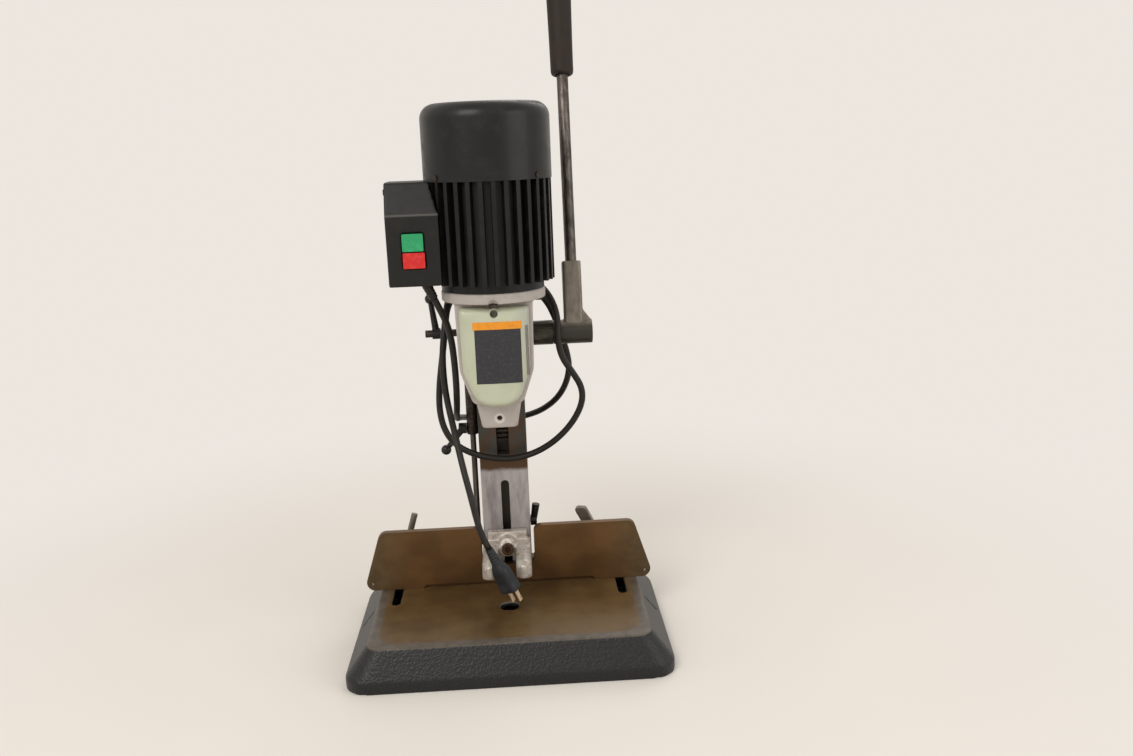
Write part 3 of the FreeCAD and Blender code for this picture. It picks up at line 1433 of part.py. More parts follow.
# Mains lead
plug_lead_share = 0.35   # last run of the lead, as a share of the plug's length
gland_drop = 17.0
cord_first_drop = 32.0
cord_route = [V(-73, -50, box_bottom - gland_drop), V(-67, -44, box_bottom - cord_first_drop), V(-60.5, -35, 444), V(-56, -26, 420),
              V(-54.5, -17.5, 391), V(-54.3, -9, 358), V(-56, 7, 327), V(-59, 33, 305),
              V(-60.5, 62, 293), V(-59, 91, 287), V(-51, 117, 280), V(-34, 136, 273.5),
              V(-9, 144.5, 269), V(18, 141, 269.5), V(41, 127, 277), V(61, 110, 289.5),
              V(79, 92, 308), V(91.5, 77, 332), V(96.5, 66, 359), V(91.5, 61, 386),
              V(84, 58.5, 409), V(78, 57.2, 430), V(69.5, 56, 449), V(56.5, 54.3, 464.5),
              V(37.5, 52.2, 474), V(13, 50.8, 475.2), V(-13, 51.2, 475), V(-37.6, 50.6, 475.2),
              V(-54.4, 47.5, 465.4), V(-64, 43, 448.6), V(-67, 38, 427), V(-70.5, 34, 402),
              V(-75, 31, 375), V(-79.5, 29.5, 346), V(-81.5, 30, 316), V(-77.5, 32, 288),
              V(-65, 35, 265), V(-43, 39.5, 249), V(-15, 43, 239.5), V(15, 44.5, 237),
              V(45, 43, 244.5), V(73, 37.5, 262.5), V(96, 30.5, 288), V(109.5, 23, 316),
              V(109.5, 16, 340), V(97, 9.5, 362.5), V(83.5, 5.5, 383.5), V(79, 4, 407),
              V(80.5, 8, 431), V(76.5, 19, 452), V(66, 32, 470), V(50, 42.5, 482),
              V(30, 49, 486.5), V(6, 51.3, 485), V(-18, 50.7, 485.2), V(-38, 46.5, 486),
              V(-53, 37.5, 478.5), V(-61, 27, 462), V(-64.5, 17.5, 442), V(-68, 10.5, 418),
              V(-71, 6, 392), V(-71, 3.5, 365), V(-69, 2, 338), V(-64.5, -1, 312),
              V(-59.5, -8, 287), V(-54.5, -19, 264), V(-49, -31, 241), V(-43, -40.5, 217),
              V(-37.5, -48, 192.5), plug_start + (plug_start - plug_end) * plug_lead_share, plug_start]
gland_share = 1.5        # gland's length, as a share of the lead's first run
gland_start = cord_route[0] + (cord_route[0] - cord_route[1]) * gland_share
cord_parts = (("cord_lead", 12), ("cord_loop", 39), ("cord_tail", len(cord_route) - 2))


def cord_edges(start_run, end_run):
    """Edges of the route from the middle of one run to the middle of another (whole at its ends)."""
    last = len(cord_route) - 2
    edges = []
    here = cord_route[0]
    if start_run > 0:
        here = (cord_route[start_run] + cord_route[start_run + 1]) * 0.5
    for point in range(start_run + 1, end_run + 1):
        start, middle, end = corner_arc(cord_route[point - 1], cord_route[point], cord_route[point + 1],
                                        cord_radii[point - 1])
        edges.append(Part.LineSegment(here, start).toShape())
        edges.append(Part.Arc(start, middle, end).toShape())
        here = end
    goal = cord_route[-1]
    if end_run < last:
        goal = (cord_route[end_run] + cord_route[end_run + 1]) * 0.5
    edges.append(Part.LineSegment(here, goal).toShape())
    return edges


def cord_bend_radii():
    """Largest arc that each corner of the route has room for."""
    radii = []
    for before, point, after in zip(cord_route, cord_route[1:], cord_route[2:]):
        shorter = min((point - before).Length, (after - point).Length)
        turn = (point - before).getAngle(after - point)
        radii.append(run_share * shorter / math.tan(turn / 2))
    return radii


run_share = 0.45
cord_radii = cord_bend_radii()


def make_cord():
    """Mains lead in three tubes that meet face to face; prints its radii, lengths and volumes."""
    print("cord bend radii", [round(r) for r in cord_radii])
    start_run = 0
    for name, last_point in cord_parts:
        end_run = int(last_point)
        path = Part.Wire(cord_edges(start_run, end_run))
        first = path.Edges[0]
        way = first.tangentAt(first.FirstParameter)
        ring = Part.Wire(Part.makeCircle(cord_radius, first.valueAt(first.FirstParameter), way))
        tube = path.makePipeShell([ring], True, False)
        expected = math.pi * cord_radius ** 2 * path.Length
        print(name, "length", round(path.Length, 1), "volume share", round(tube.Volume / expected, 4))
        save(name, tube)
        start_run = end_run


def make_plug():
    """Moulded plug with a smooth relief and two flat blades."""
    way = plug_end - plug_start
    length = way.Length
    sections = [(plug_neck_radius, plug_neck_radius, 0, plug_round_neck),
                (plug_relief_half_width, plug_relief_half_depth, plug_relief_length, plug_round_neck),
                (plug_width / 2 - plug_slope, plug_thickness / 2 - plug_slope, plug_relief_length + plug_nose_length,
                 plug_round_body),
                (plug_width / 2, plug_thickness / 2, length, plug_round_body)]
    faces = [rectangle((-w, w), (-d, d), z, share * d) for w, d, z, share in sections]
    body = loft(faces)
    blades = []
    for side in (-1, 1):
        x = side * blade_spacing / 2
        blades.append(block((x - blade_thickness / 2, x + blade_thickness / 2), (-blade_width / 2, blade_width / 2),
                            (length, length + blade_length)))
    place = FreeCAD.Placement(plug_start, FreeCAD.Rotation(z_axis, way) * FreeCAD.Rotation(z_axis, plug_roll))
    for shape in [body] + blades:
        shape.Placement = place
    save("plug_body", body)
    save("plug_blades", *blades)


plug_roll = 40.0
plug_neck_radius = 5.45
plug_relief_half_width = 7.4
plug_relief_half_depth = 6.8
plug_slope = 1.2
plug_round_neck = 0.9    # corner radius as a share of the half depth
plug_round_body = 0.45


make_base()
make_column()
make_column_bolts()
make_rack()
make_rack_screws()
make_pinion_shaft()
make_pinion_bushes()
make_head_casting()
make_keepers()
make_casting_screws()
make_gib()
make_chisel_screw()
make_front_cover()
make_depth_stop()
make_gas_spring()
make_motor_shell()
pan_screws = make_fan_cover()
make_motor_inside()
make_spindle()
pan_screws += make_switch_box()
save("pan_head_screws", *pan_screws)
make_buttons()
make_gland()
make_lever()
make_clamp_levers()
make_hold_down()
make_fence()
make_fence_levers()
make_cord()
make_plug()
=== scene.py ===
# %% [markdown]
# # A benchtop mortiser, finished for its portrait
# The solid pieces of the machine come from a imported CAD frame: they are already the right size and in
# the right place, in metres. This lesson gives them their finish, and it replaces the pieces whose
# real form is softer than their solid: the mains lead with its gland and plug, the rubber grip, and
# the castings and mouldings whose edges are round. Every new piece is a surface worked out with numpy,
# and each but the lead is tied to the body that it moves with.
# %% Load the frame
import math

import bmesh
import bpy
import numpy as np
from mathutils import Matrix, Vector


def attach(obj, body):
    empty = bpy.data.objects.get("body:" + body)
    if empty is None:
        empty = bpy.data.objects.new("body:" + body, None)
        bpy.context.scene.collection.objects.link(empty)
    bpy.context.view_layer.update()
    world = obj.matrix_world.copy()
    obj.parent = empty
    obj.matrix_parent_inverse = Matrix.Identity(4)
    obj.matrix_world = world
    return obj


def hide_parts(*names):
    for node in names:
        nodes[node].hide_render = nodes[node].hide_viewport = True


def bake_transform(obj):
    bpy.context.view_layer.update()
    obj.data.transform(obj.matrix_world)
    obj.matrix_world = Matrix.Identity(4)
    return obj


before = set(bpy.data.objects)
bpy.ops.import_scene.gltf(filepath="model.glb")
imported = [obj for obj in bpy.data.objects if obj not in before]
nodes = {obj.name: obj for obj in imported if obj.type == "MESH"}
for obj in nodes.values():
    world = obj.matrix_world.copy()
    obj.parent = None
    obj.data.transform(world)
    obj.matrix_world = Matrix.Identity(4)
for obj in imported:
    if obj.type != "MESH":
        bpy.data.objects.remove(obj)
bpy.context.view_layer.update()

# %% [markdown]
# ## The camera
# The photograph was taken from in front of the machine, a little above the middle of it, with the
# camera tipped down. A camera is easiest to copy when its three directions are known: right, up and
# ahead. Blender's camera looks along its own -Z, so those directions fill the columns of its matrix.
# %% Set the camera at the photograph's angle
IMAGE_WIDTH = 1133
FOCAL_PIXELS = 1040.0
SENSOR = 36.0
EYE = Vector((0.0302, -1.3209, 0.6577))
AHEAD = Vector((0.04298, 0.97413, -0.22184)).normalized()
RIGHT = Vector((0.99798, -0.05227, -0.03617))
RIGHT = (RIGHT - AHEAD * RIGHT.dot(AHEAD)).normalized()
UP = RIGHT.cross(AHEAD)

lens = bpy.data.cameras.new("portrait_lens")
lens.sensor_width = SENSOR
lens.lens = FOCAL_PIXELS / IMAGE_WIDTH * SENSOR
camera = bpy.data.objects.new("portrait_camera", lens)
bpy.context.scene.collection.objects.link(camera)
camera.matrix_world = Matrix.Translation(EYE) @ Matrix((RIGHT, UP, -AHEAD)).transposed().to_4x4()
bpy.context.scene.camera = camera
bpy.context.scene.view_settings.view_transform = "Standard"
print("lens", round(lens.lens, 2), "mm")

# %% [markdown]
# ## Surfaces from numpy
# A piece that isn't a plain solid is easiest to write as a grid of points: one direction runs along
# the piece and the other runs round it. All the points are worked out at once as one array, and the
# faces are the small squares between neighbours. A closed direction joins its last row to its first,
# and an end that is still open is shut with one many-sided face.
# %% Grid to mesh
def grid_piece(name, grid, body, wrap=True, caps=True):
    """Mesh from a (rows, columns, 3) array: square faces between neighbours, columns closed in a ring
    when wrap is set, and the first and last rows shut by one face each when caps is set. It rides on
    its body, and a piece with no body of its own is left free."""
    rows, columns = grid.shape[:2]
    index = np.arange(rows * columns).reshape(rows, columns)
    across = np.roll(index, -1, axis=1) if wrap else index[:, 1:]
    start = index if wrap else index[:, :-1]
    quads = np.stack([start[:-1], across[:-1], across[1:], start[1:]], axis=-1).reshape(-1, 4)
    faces = quads.tolist()
    if caps:
        faces += [index[0][::-1].tolist(), index[-1].tolist()]
    mesh = bpy.data.meshes.new(name)
    mesh.from_pydata(grid.reshape(-1, 3).tolist(), [], faces)
    mesh.update()
    mesh.polygons.foreach_set("use_smooth", [True] * len(mesh.polygons))
    piece = bpy.data.objects.new(name, mesh)
    bpy.context.scene.collection.objects.link(piece)
    if body:
        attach(piece, body)
    return piece


def unit(vector):
    """A vector divided by its own length."""
    vector = np.asarray(vector, float)
    return vector / np.linalg.norm(vector)


def full_turn(steps):
    """Even angles round a circle, in radians, without the last one that falls on the first."""
    return np.linspace(0, 2 * np.pi, steps, endpoint=False)


def lathe_grid(start, end, along, radius, steps):
    """Points of a turned form: at each share `along` of the line from start to end, a circle of that
    radius. The circle's two directions are square to the line."""
    start, end = np.asarray(start, float), np.asarray(end, float)
    axis = unit(end - start)
    side = unit(np.cross(axis, [0.0, 1.0, 0.2]))
    other = np.cross(axis, side)
    turn = full_turn(steps)
    ring = np.cos(turn)[:, None] * side + np.sin(turn)[:, None] * other
    centres = start + np.asarray(along, float)[:, None] * (end - start)
    return centres[:, None, :] + np.asarray(radius, float)[:, None, None] * ring[None]


# %% [markdown]
# ## The mains lead
# The lead hangs from the switch box in two loose loops round the head and ends in its plug above the
# table. It is one NURBS curve whose control points are the corners of its CAD tube's route. It is tied
# to no body: the gland rides on the head and the plug on the base.
# %% Lay the lead along its route
LEAD_RADIUS = 0.00425
LEAD_ROUTE = [
    # places in millimetres, from the gland to the plug
    (-73, -50, 477), (-67, -44, 462), (-60.5, -35, 444), (-56, -26, 420), (-54.5, -17.5, 391),
    (-54.3, -9, 358), (-56, 7, 327), (-59, 33, 305), (-60.5, 62, 293), (-59, 91, 287), (-51, 117, 280),
    (-34, 136, 273.5), (-9, 144.5, 269), (18, 141, 269.5), (41, 127, 277), (61, 110, 289.5),
    (79, 92, 308), (91.5, 77, 332), (96.5, 66, 359), (91.5, 61, 386), (84, 58.5, 409), (78, 57.2, 430),
    (69.5, 56, 449), (56.5, 54.3, 464.5), (37.5, 52.2, 474), (13, 50.8, 475.2), (-13, 51.2, 475),
    (-37.6, 50.6, 475.2), (-54.4, 47.5, 465.4), (-64, 43, 448.6), (-67, 38, 427), (-70.5, 34, 402),
    (-75, 31, 375), (-79.5, 29.5, 346), (-81.5, 30, 316), (-77.5, 32, 288), (-65, 35, 265),
    (-43, 39.5, 249), (-15, 43, 239.5), (15, 44.5, 237), (45, 43, 244.5), (73, 37.5, 262.5),
    (96, 30.5, 288), (109.5, 23, 316), (109.5, 16, 340), (97, 9.5, 362.5), (83.5, 5.5, 383.5), (79, 4, 407),
    (80.5, 8, 431), (76.5, 19, 452), (66, 32, 470), (50, 42.5, 482), (30, 49, 486.5), (6, 51.3, 485),
    (-18, 50.7, 485.2), (-38, 46.5, 486), (-53, 37.5, 478.5), (-61, 27, 462), (-64.5, 17.5, 442),
    (-68, 10.5, 418), (-71, 6, 392), (-71, 3.5, 365), (-69, 2, 338), (-64.5, -1, 312),
    (-59.5, -8, 287), (-54.5, -19, 264), (-49, -31, 241), (-43, -40.5, 217), (-37.5, -48, 192.5),
    (-31.775, -51.35, 166.475), (-22.5, -51, 146),
]


def nurbs_points(route):
    """Points along the NURBS curve whose control points are the route, which is in millimetres."""
    curve = bpy.data.curves.new("lead_line", "CURVE")
    curve.dimensions = "3D"
    spline = curve.splines.new("NURBS")
    spline.points.add(len(route) - 1)
    points = np.ones((len(route), 4))
    points[:, :3] = np.array(route) / 1000
    spline.points.foreach_set("co", points.ravel())
    spline.order_u = 3
    spline.use_endpoint_u = True
    spline.resolution_u = 5
    carrier = bpy.data.objects.new("lead_line", curve)
    bpy.context.scene.collection.objects.link(carrier)
    bpy.context.view_layer.update()
    line = bpy.data.meshes.new_from_object(carrier.evaluated_get(bpy.context.evaluated_depsgraph_get()))
    found = np.empty(len(line.vertices) * 3)
    line.vertices.foreach_get("co", found)
    bpy.data.objects.remove(carrier)
    bpy.data.meshes.remove(line)
    return found.reshape(-1, 3)


def tube_grid(path, radius, steps):
    """Round tube on a path: each ring stands square to the path, and its first direction is the last
    ring's, freed of its share along the path, so the rings don't twist."""
    ahead = np.gradient(path, axis=0)
    ahead /= np.linalg.norm(ahead, axis=1)[:, None]
    side = unit(np.cross(ahead[0], [0.3, 1.0, 0.1]))
    sides = [side]
    for way in ahead[1:]:
        side = unit(side - way * (side @ way))
        sides.append(side)
    sides = np.array(sides)
    others = np.cross(ahead, sides)
    turn = full_turn(steps)
    ring = np.cos(turn)[None, :, None] * sides[:, None] + np.sin(turn)[None, :, None] * others[:, None]
    return path[:, None, :] + radius * ring


LEAD_SIDES = 20
lead_path = nurbs_points(LEAD_ROUTE)
lead_length = float(np.linalg.norm(np.diff(lead_path, axis=0), axis=1).sum())
lead = grid_piece("mains_lead", tube_grid(lead_path, LEAD_RADIUS, LEAD_SIDES), None)
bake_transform(lead)
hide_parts("cord_lead", "cord_loop", "cord_tail")
print("lead:", len(LEAD_ROUTE), "control points,", round(lead_length, 3), "m long")

# %% [markdown]
# ## Recipes for finishes
# A finish is a Principled shader whose colour, roughness and bump change over the surface. The
# changes come from noise read at the piece's own Object coordinates, so they stay put when a piece
# moves. The helpers below each add one node and return its output, so a recipe reads like a sentence.
# %% Helpers that add shader nodes
def srgb(red, green, blue):
    """Linear colour from screen values of 0 to 255: each share is raised to the power 2.2, with the
    short straight part that the screen standard has near black."""
    share = np.array([red, green, blue]) / 255
    linear = np.where(share <= 0.04045, share / 12.92, ((share + 0.055) / 1.055) ** 2.4)
    return (*[float(v) for v in linear], 1.0)


class Finish:
    """One procedural material while it is being mixed."""

    def __init__(self, name, roughness=0.5, metallic=0.0, specular=0.5, coat=0.0):
        self.material = bpy.data.materials.new(name)
        self.material.use_nodes = True
        self.tree = self.material.node_tree
        self.shader = self.tree.nodes["Principled BSDF"]
        self.shader.inputs["Roughness"].default_value = roughness
        self.shader.inputs["Metallic"].default_value = metallic
        self.shader.inputs["Specular IOR Level"].default_value = specular
        self.shader.inputs["Coat Weight"].default_value = coat
        self.place = self.tree.nodes.new("ShaderNodeTexCoord").outputs["Object"]

    def link(self, source, socket):
        """Sets a socket from another node's output or from a plain value."""
        if hasattr(source, "links"):
            self.tree.links.new(source, socket)
        else:
            socket.default_value = source

    def math(self, operation, first, second=0.0, clamp=False):
        """Arithmetic on two values."""
        node = self.tree.nodes.new("ShaderNodeMath")
        node.operation = operation
        node.use_clamp = clamp
        self.link(first, node.inputs[0])
        self.link(second, node.inputs[1])
        return node.outputs[0]

    def stretched(self, x=1.0, y=1.0, z=1.0):
        """Object coordinates scaled by a factor on each axis."""
        node = self.tree.nodes.new("ShaderNodeMapping")
        self.link(self.place, node.inputs["Vector"])
        node.inputs["Scale"].default_value = (x, y, z)
        return node.outputs[0]

    def noise(self, scale, detail=3.0, rough=0.55, where=None):
        """Soft random pattern; scale is in repeats per metre."""
        node = self.tree.nodes.new("ShaderNodeTexNoise")
        self.link(where or self.place, node.inputs["Vector"])
        node.inputs["Scale"].default_value = scale
        node.inputs["Detail"].default_value = detail
        node.inputs["Roughness"].default_value = rough
        return node.outputs["Fac"]

    def cells(self, scale, smooth):
        """Distance to the nearest of scattered points, softened, as in hammered paint."""
        node = self.tree.nodes.new("ShaderNodeTexVoronoi")
        node.feature = "SMOOTH_F1"
        self.link(self.place, node.inputs["Vector"])
        node.inputs["Scale"].default_value = scale
        node.inputs["Smoothness"].default_value = smooth
        return node.outputs["Distance"]

    def band(self, value, low, high):
        """Share that climbs from 0 at low to 1 at high."""
        node = self.tree.nodes.new("ShaderNodeMapRange")
        node.interpolation_type = "SMOOTHSTEP"
        self.link(value, node.inputs["Value"])
        node.inputs["From Min"].default_value = low
        node.inputs["From Max"].default_value = high
        return node.outputs["Result"]

    def mix(self, share, first, second):
        """Colour between two colours."""
        node = self.tree.nodes.new("ShaderNodeMix")
        node.data_type = "RGBA"
        self.link(share, node.inputs[0])
        self.link(first, node.inputs[6])
        self.link(second, node.inputs[7])
        return node.outputs[2]

    def axis(self, letter):
        """One coordinate of the surface point, in metres."""
        node = self.tree.nodes.new("ShaderNodeSeparateXYZ")
        self.link(self.place, node.inputs[0])
        return node.outputs[letter]

    def tone(self):
        """The colour that the shader has been given so far."""
        return self.shader.inputs["Base Color"].links[0].from_socket

    def colour(self, source):
        """Gives the shader its colour."""
        self.link(source, self.shader.inputs["Base Color"])
        return self

    def rough(self, share, low, high):
        """Roughness between two values by a share."""
        spread = self.math("MULTIPLY", share, high - low)
        self.link(self.math("ADD", spread, low, clamp=True), self.shader.inputs["Roughness"])
        return self

    def bump(self, height, depth, strength=1.0):
        """Fine relief; depth is in metres."""
        node = self.tree.nodes.new("ShaderNodeBump")
        node.inputs["Strength"].default_value = strength
        node.inputs["Distance"].default_value = depth
        self.link(height, node.inputs["Height"])
        last = self.shader.inputs["Normal"]
        if last.links:
            self.link(last.links[0].from_socket, node.inputs["Normal"])
        self.link(node.outputs["Normal"], last)
        return self


FINISHES = {}


def keep(name, finish):
    """Stores a finished material under a plain name."""
    FINISHES[name] = finish.material
    return finish


# %% [markdown]
# ## Cast iron and paint
# The base is enamelled with a hammered charcoal paint: shallow round dimples a few millimetres wide.
# Its table is bare iron that has tarnished brown, and round the table runs a paler rim. All three are
# on one casting, so the finish tells them apart by where a point lies: its height, and its distance
# from the rounded rectangle of the table.
# %% Finish of the base casting
TABLE_HALF = (0.1787, 0.126)
TABLE_TOP = 0.0515
TABLE_CORNER = 0.026
RIM_WIDTH = 0.011
RIM_FOOT = 0.0490


def rectangle_distance(finish, half_x, half_y, corner):
    """Distance outside a rounded rectangle about the origin: the point is folded into one quarter,
    the inner corner is taken off, and the length of what is left is compared with the radius."""
    over_x = finish.math("SUBTRACT", finish.math("ABSOLUTE", finish.axis("X")), half_x - corner)
    over_y = finish.math("SUBTRACT", finish.math("ABSOLUTE", finish.axis("Y")), half_y - corner)
    over_x = finish.math("MAXIMUM", over_x, 0.0)
    over_y = finish.math("MAXIMUM", over_y, 0.0)
    square = finish.math("ADD", finish.math("MULTIPLY", over_x, over_x),
                         finish.math("MULTIPLY", over_y, over_y))
    return finish.math("SUBTRACT", finish.math("SQRT", square), corner)


base = keep("base", Finish("hammered_enamel", roughness=0.4, specular=0.4))
edge = rectangle_distance(base, TABLE_HALF[0] - RIM_WIDTH, TABLE_HALF[1] - RIM_WIDTH, TABLE_CORNER)
wobble = base.math("MULTIPLY", base.math("SUBTRACT", base.noise(60, 3), 0.5), 0.006)
inside = base.band(base.math("ADD", edge, wobble), 0.0030, -0.0035)
level = base.band(base.axis("Z"), TABLE_TOP - 0.0006, TABLE_TOP)
table_share = base.math("MULTIPLY", inside, level)
skirt = base.mix(base.band(base.noise(420, 2), 0.35, 0.7), srgb(17, 17, 18), srgb(31, 31, 32))
rim = base.mix(base.band(base.noise(50, 5, 0.6), 0.3, 0.7), srgb(86, 78, 68), srgb(110, 101, 90))
tarnish = base.mix(base.band(base.noise(11, 4, 0.6), 0.35, 0.65), srgb(82, 61, 34), srgb(104, 82, 50))
spots = base.math("MULTIPLY", base.band(base.noise(60, 5, 0.7), 0.52, 0.80), 0.5)
tarnish = base.mix(spots, tarnish, srgb(52, 38, 24))
rim_share = base.math("MULTIPLY", base.band(base.axis("Z"), RIM_FOOT, RIM_FOOT + 0.0016), 0.85)
painted = base.mix(rim_share, skirt, rim)
base.colour(base.mix(table_share, painted, tarnish))
base.rough(table_share, 0.42, 0.33)
dimples = base.math("MULTIPLY", base.cells(340, 0.8), base.math("SUBTRACT", 1.0, level))
base.bump(dimples, 0.0007, 0.8)
base.bump(base.noise(700, 4, 0.6), 0.00012, 0.5)

# %% [markdown]
# ## Bare and painted metal
# The head casting is sand-cast iron under a warm light grey paint, so it is faintly pebbled and has
# grimy patches, and the paint has gone in a ring round the screw of its nose. The fence and the
# hold-down are machined iron: one has tarnished brown, the other is still bright. Steel rods show
# streaks along their length, which is noise squeezed across the rod.
# %% Finish of the head casting and its cover
NOSE_SCREW_HEIGHT = 0.319
casting = keep("casting", Finish("warm_grey_paint", roughness=0.5, specular=0.45))
grime = casting.band(casting.noise(38, 5, 0.65), 0.5, 0.75)
painted_iron = casting.mix(casting.math("MULTIPLY", grime, 0.55), srgb(176, 168, 161), srgb(134, 124, 114))
screw_across = casting.math("POWER", casting.axis("X"), 2.0)
screw_up = casting.math("POWER", casting.math("SUBTRACT", casting.axis("Z"), NOSE_SCREW_HEIGHT), 2.0)
from_screw = casting.math("SQRT", casting.math("ADD", screw_across, screw_up))
bare_patch = casting.math("MULTIPLY", casting.band(from_screw, 0.0080, 0.0055), 0.8)
casting.colour(casting.mix(bare_patch, painted_iron, srgb(214, 208, 201)))
casting.rough(grime, 0.42, 0.6)
casting.bump(casting.noise(650, 4, 0.6), 0.00025, 0.6)

cover = keep("cover", Finish("pale_green_paint", roughness=0.34, specular=0.5, coat=0.25))
# The cover turns darker grey towards its right side: painted shade, where less light falls on it.
side = cover.band(cover.axis("X"), 0.018, 0.043)
patch = cover.band(cover.noise(30, 3), 0.4, 0.7)
pale = cover.mix(cover.math("MULTIPLY", patch, 0.5), srgb(187, 192, 168), srgb(176, 178, 154))
cover.colour(cover.mix(cover.math("MULTIPLY", side, 0.6), pale, srgb(162, 160, 150)))
cover.bump(cover.noise(500, 3), 0.00012, 0.5)

# %% Finish of the fence, the column and the hold-down
FENCE_END_FROM, FENCE_END_FULL = 0.120, 0.195
fence = keep("fence", Finish("tarnished_iron", roughness=0.42, metallic=0.55, specular=0.5))
ends = fence.band(fence.math("ABSOLUTE", fence.axis("X")), FENCE_END_FROM, FENCE_END_FULL)
blotch = fence.band(fence.noise(13, 4, 0.55, fence.stretched(1.0, 1.0, 1.4)), 0.3, 0.7)
brown = fence.mix(blotch, srgb(92, 66, 36), srgb(116, 82, 46))
olive = fence.mix(fence.band(fence.noise(60, 4, 0.6), 0.35, 0.7), srgb(82, 68, 46), srgb(100, 84, 58))
fence.colour(fence.mix(fence.math("MULTIPLY", ends, 0.8), brown, olive))
fence.rough(blotch, 0.34, 0.52)
fence.bump(fence.noise(300, 3, 0.5, fence.stretched(0.08, 1.0, 1.0)), 0.00010, 0.6)

MACHINED_TOP, COLUMN_FRONT = 0.219, 0.0612
column = keep("column", Finish("column_steel", roughness=0.4, metallic=0.5, specular=0.5))
height = column.math("ADD", column.axis("Z"), column.math("MULTIPLY", column.noise(40, 4), 0.010))
machined = column.band(height, MACHINED_TOP + 0.007, MACHINED_TOP)
front = column.band(column.axis("Y"), COLUMN_FRONT + 0.0013, COLUMN_FRONT)
low_face = column.math("MULTIPLY", machined, front)
rust = column.band(column.noise(34, 5, 0.7), 0.47, 0.66)
upper = column.mix(rust, srgb(70, 66, 61), srgb(84, 58, 34))
above_face = column.math("SUBTRACT", column.band(height, MACHINED_TOP + 0.002, MACHINED_TOP + 0.006),
                         column.band(height, MACHINED_TOP + 0.014, MACHINED_TOP + 0.024))
brown_band = column.math("MULTIPLY", column.math("MULTIPLY", above_face, front), 0.85)
upper = column.mix(brown_band, upper, srgb(88, 60, 33))
bright = column.mix(column.band(column.noise(60, 5, 0.7, column.stretched(1.0, 1.0, 0.2)), 0.4, 0.7),
                    srgb(174, 169, 169), srgb(140, 132, 131))
column.colour(column.mix(low_face, upper, bright))
column.rough(low_face, 0.5, 0.34)
column.bump(column.noise(500, 3, 0.5, column.stretched(1.0, 1.0, 0.1)), 0.00008, 0.6)

holder = keep("holder", Finish("bright_cast_iron", roughness=0.42, metallic=0.35, specular=0.5))
stain = holder.band(holder.noise(110, 5, 0.7), 0.5, 0.72)
holder.colour(holder.mix(holder.math("MULTIPLY", stain, 0.8), srgb(190, 182, 172), srgb(120, 92, 66)))
holder.rough(stain, 0.34, 0.62)
holder.bump(holder.noise(800, 4, 0.6), 0.0002, 0.5)


# %% Streaked steels
def steel_finish(name, pale_tone, dark_tone, roughness, metallic, squeeze=(1, 1, 0.08), scale=260):
    """Steel with streaks: noise that is squeezed along one axis mixes a pale and a dark tone."""
    finish = keep(name, Finish(name, roughness=roughness, metallic=metallic))
    streak = finish.band(finish.noise(scale, 4, 0.6, finish.stretched(*squeeze)), 0.35, 0.68)
    patch = finish.band(finish.noise(70, 4, 0.65), 0.45, 0.72)
    tone = finish.mix(streak, pale_tone, dark_tone)
    finish.colour(finish.mix(finish.math("MULTIPLY", patch, 0.5), tone, dark_tone))
    finish.rough(patch, roughness - 0.06, roughness + 0.12)
    finish.bump(streak, 0.00003, 0.5)
    return finish


steel_finish("lever_steel", srgb(104, 98, 92), srgb(66, 58, 52), 0.42, 0.7)
steel_finish("worn_steel", srgb(126, 119, 108), srgb(104, 96, 84), 0.44, 0.45, (1, 1, 0.3), 90)
steel_finish("ground_steel", srgb(176, 174, 170), srgb(120, 116, 110), 0.28, 0.9)
steel_finish("dark_steel", srgb(74, 66, 60), srgb(48, 38, 32), 0.48, 0.7, (1, 1, 1))
steel_finish("rusty_bolt", srgb(92, 62, 42), srgb(56, 40, 30), 0.6, 0.3, (1, 1, 1))
steel_finish("bronze", srgb(150, 116, 66), srgb(104, 76, 42), 0.36, 0.8, (0.1, 1, 1))
steel_finish("stacked_steel", srgb(110, 110, 112), srgb(64, 64, 66), 0.45, 0.8, (1, 1, 8), 300)
steel_finish("copper_wire", srgb(176, 92, 48), srgb(120, 56, 28), 0.35, 0.8, (1, 1, 6), 300)
steel_finish("barrel_steel", srgb(74, 70, 60), srgb(40, 37, 32), 0.4, 0.6, (0.2, 1, 1))
steel_finish("blade_brass", srgb(206, 184, 156), srgb(158, 128, 96), 0.34, 0.6, (1, 1, 0.3))
HUB_DARK_BELOW = 0.4205
hub = steel_finish("hub_steel", srgb(128, 121, 110), srgb(104, 96, 84), 0.42, 0.45, (1, 1, 0.3), 90)
# The hub is coloured darker below HUB_DARK_BELOW.
lower_dark_share = hub.band(hub.axis("Z"), HUB_DARK_BELOW + 0.007, HUB_DARK_BELOW)
hub.colour(hub.mix(lower_dark_share, hub.tone(), srgb(54, 51, 45)))
print("finishes so far:", sorted(FINISHES))

# %% [markdown]
# ## Black paint, plastic and rubber
# Near-black surfaces differ mostly in how they shine. The motor is satin paint that holds dust on its
# fins, the switch box is grained plastic with a painted highlight along the crease across its front, and
# the grip is dull rubber that has gone brown with handling. The same recipe in bright tones makes the push
# buttons.
# %% Blacks and the push buttons
def black_finish(name, tone, dusty, roughness, grain, depth, specular=0.5, coat=0.0, scale=45):
    """Dark material: a tone, a dusty tone in soft patches, and a fine grain of a given size."""
    finish = keep(name, Finish(name, roughness=roughness, specular=specular, coat=coat))
    dust = finish.band(finish.noise(scale, 5, 0.65), 0.45, 0.75)
    finish.colour(finish.mix(dust, tone, dusty))
    finish.rough(dust, roughness - 0.04, roughness + 0.14)
    finish.bump(finish.noise(grain, 3, 0.5), depth, 0.6)
    return finish


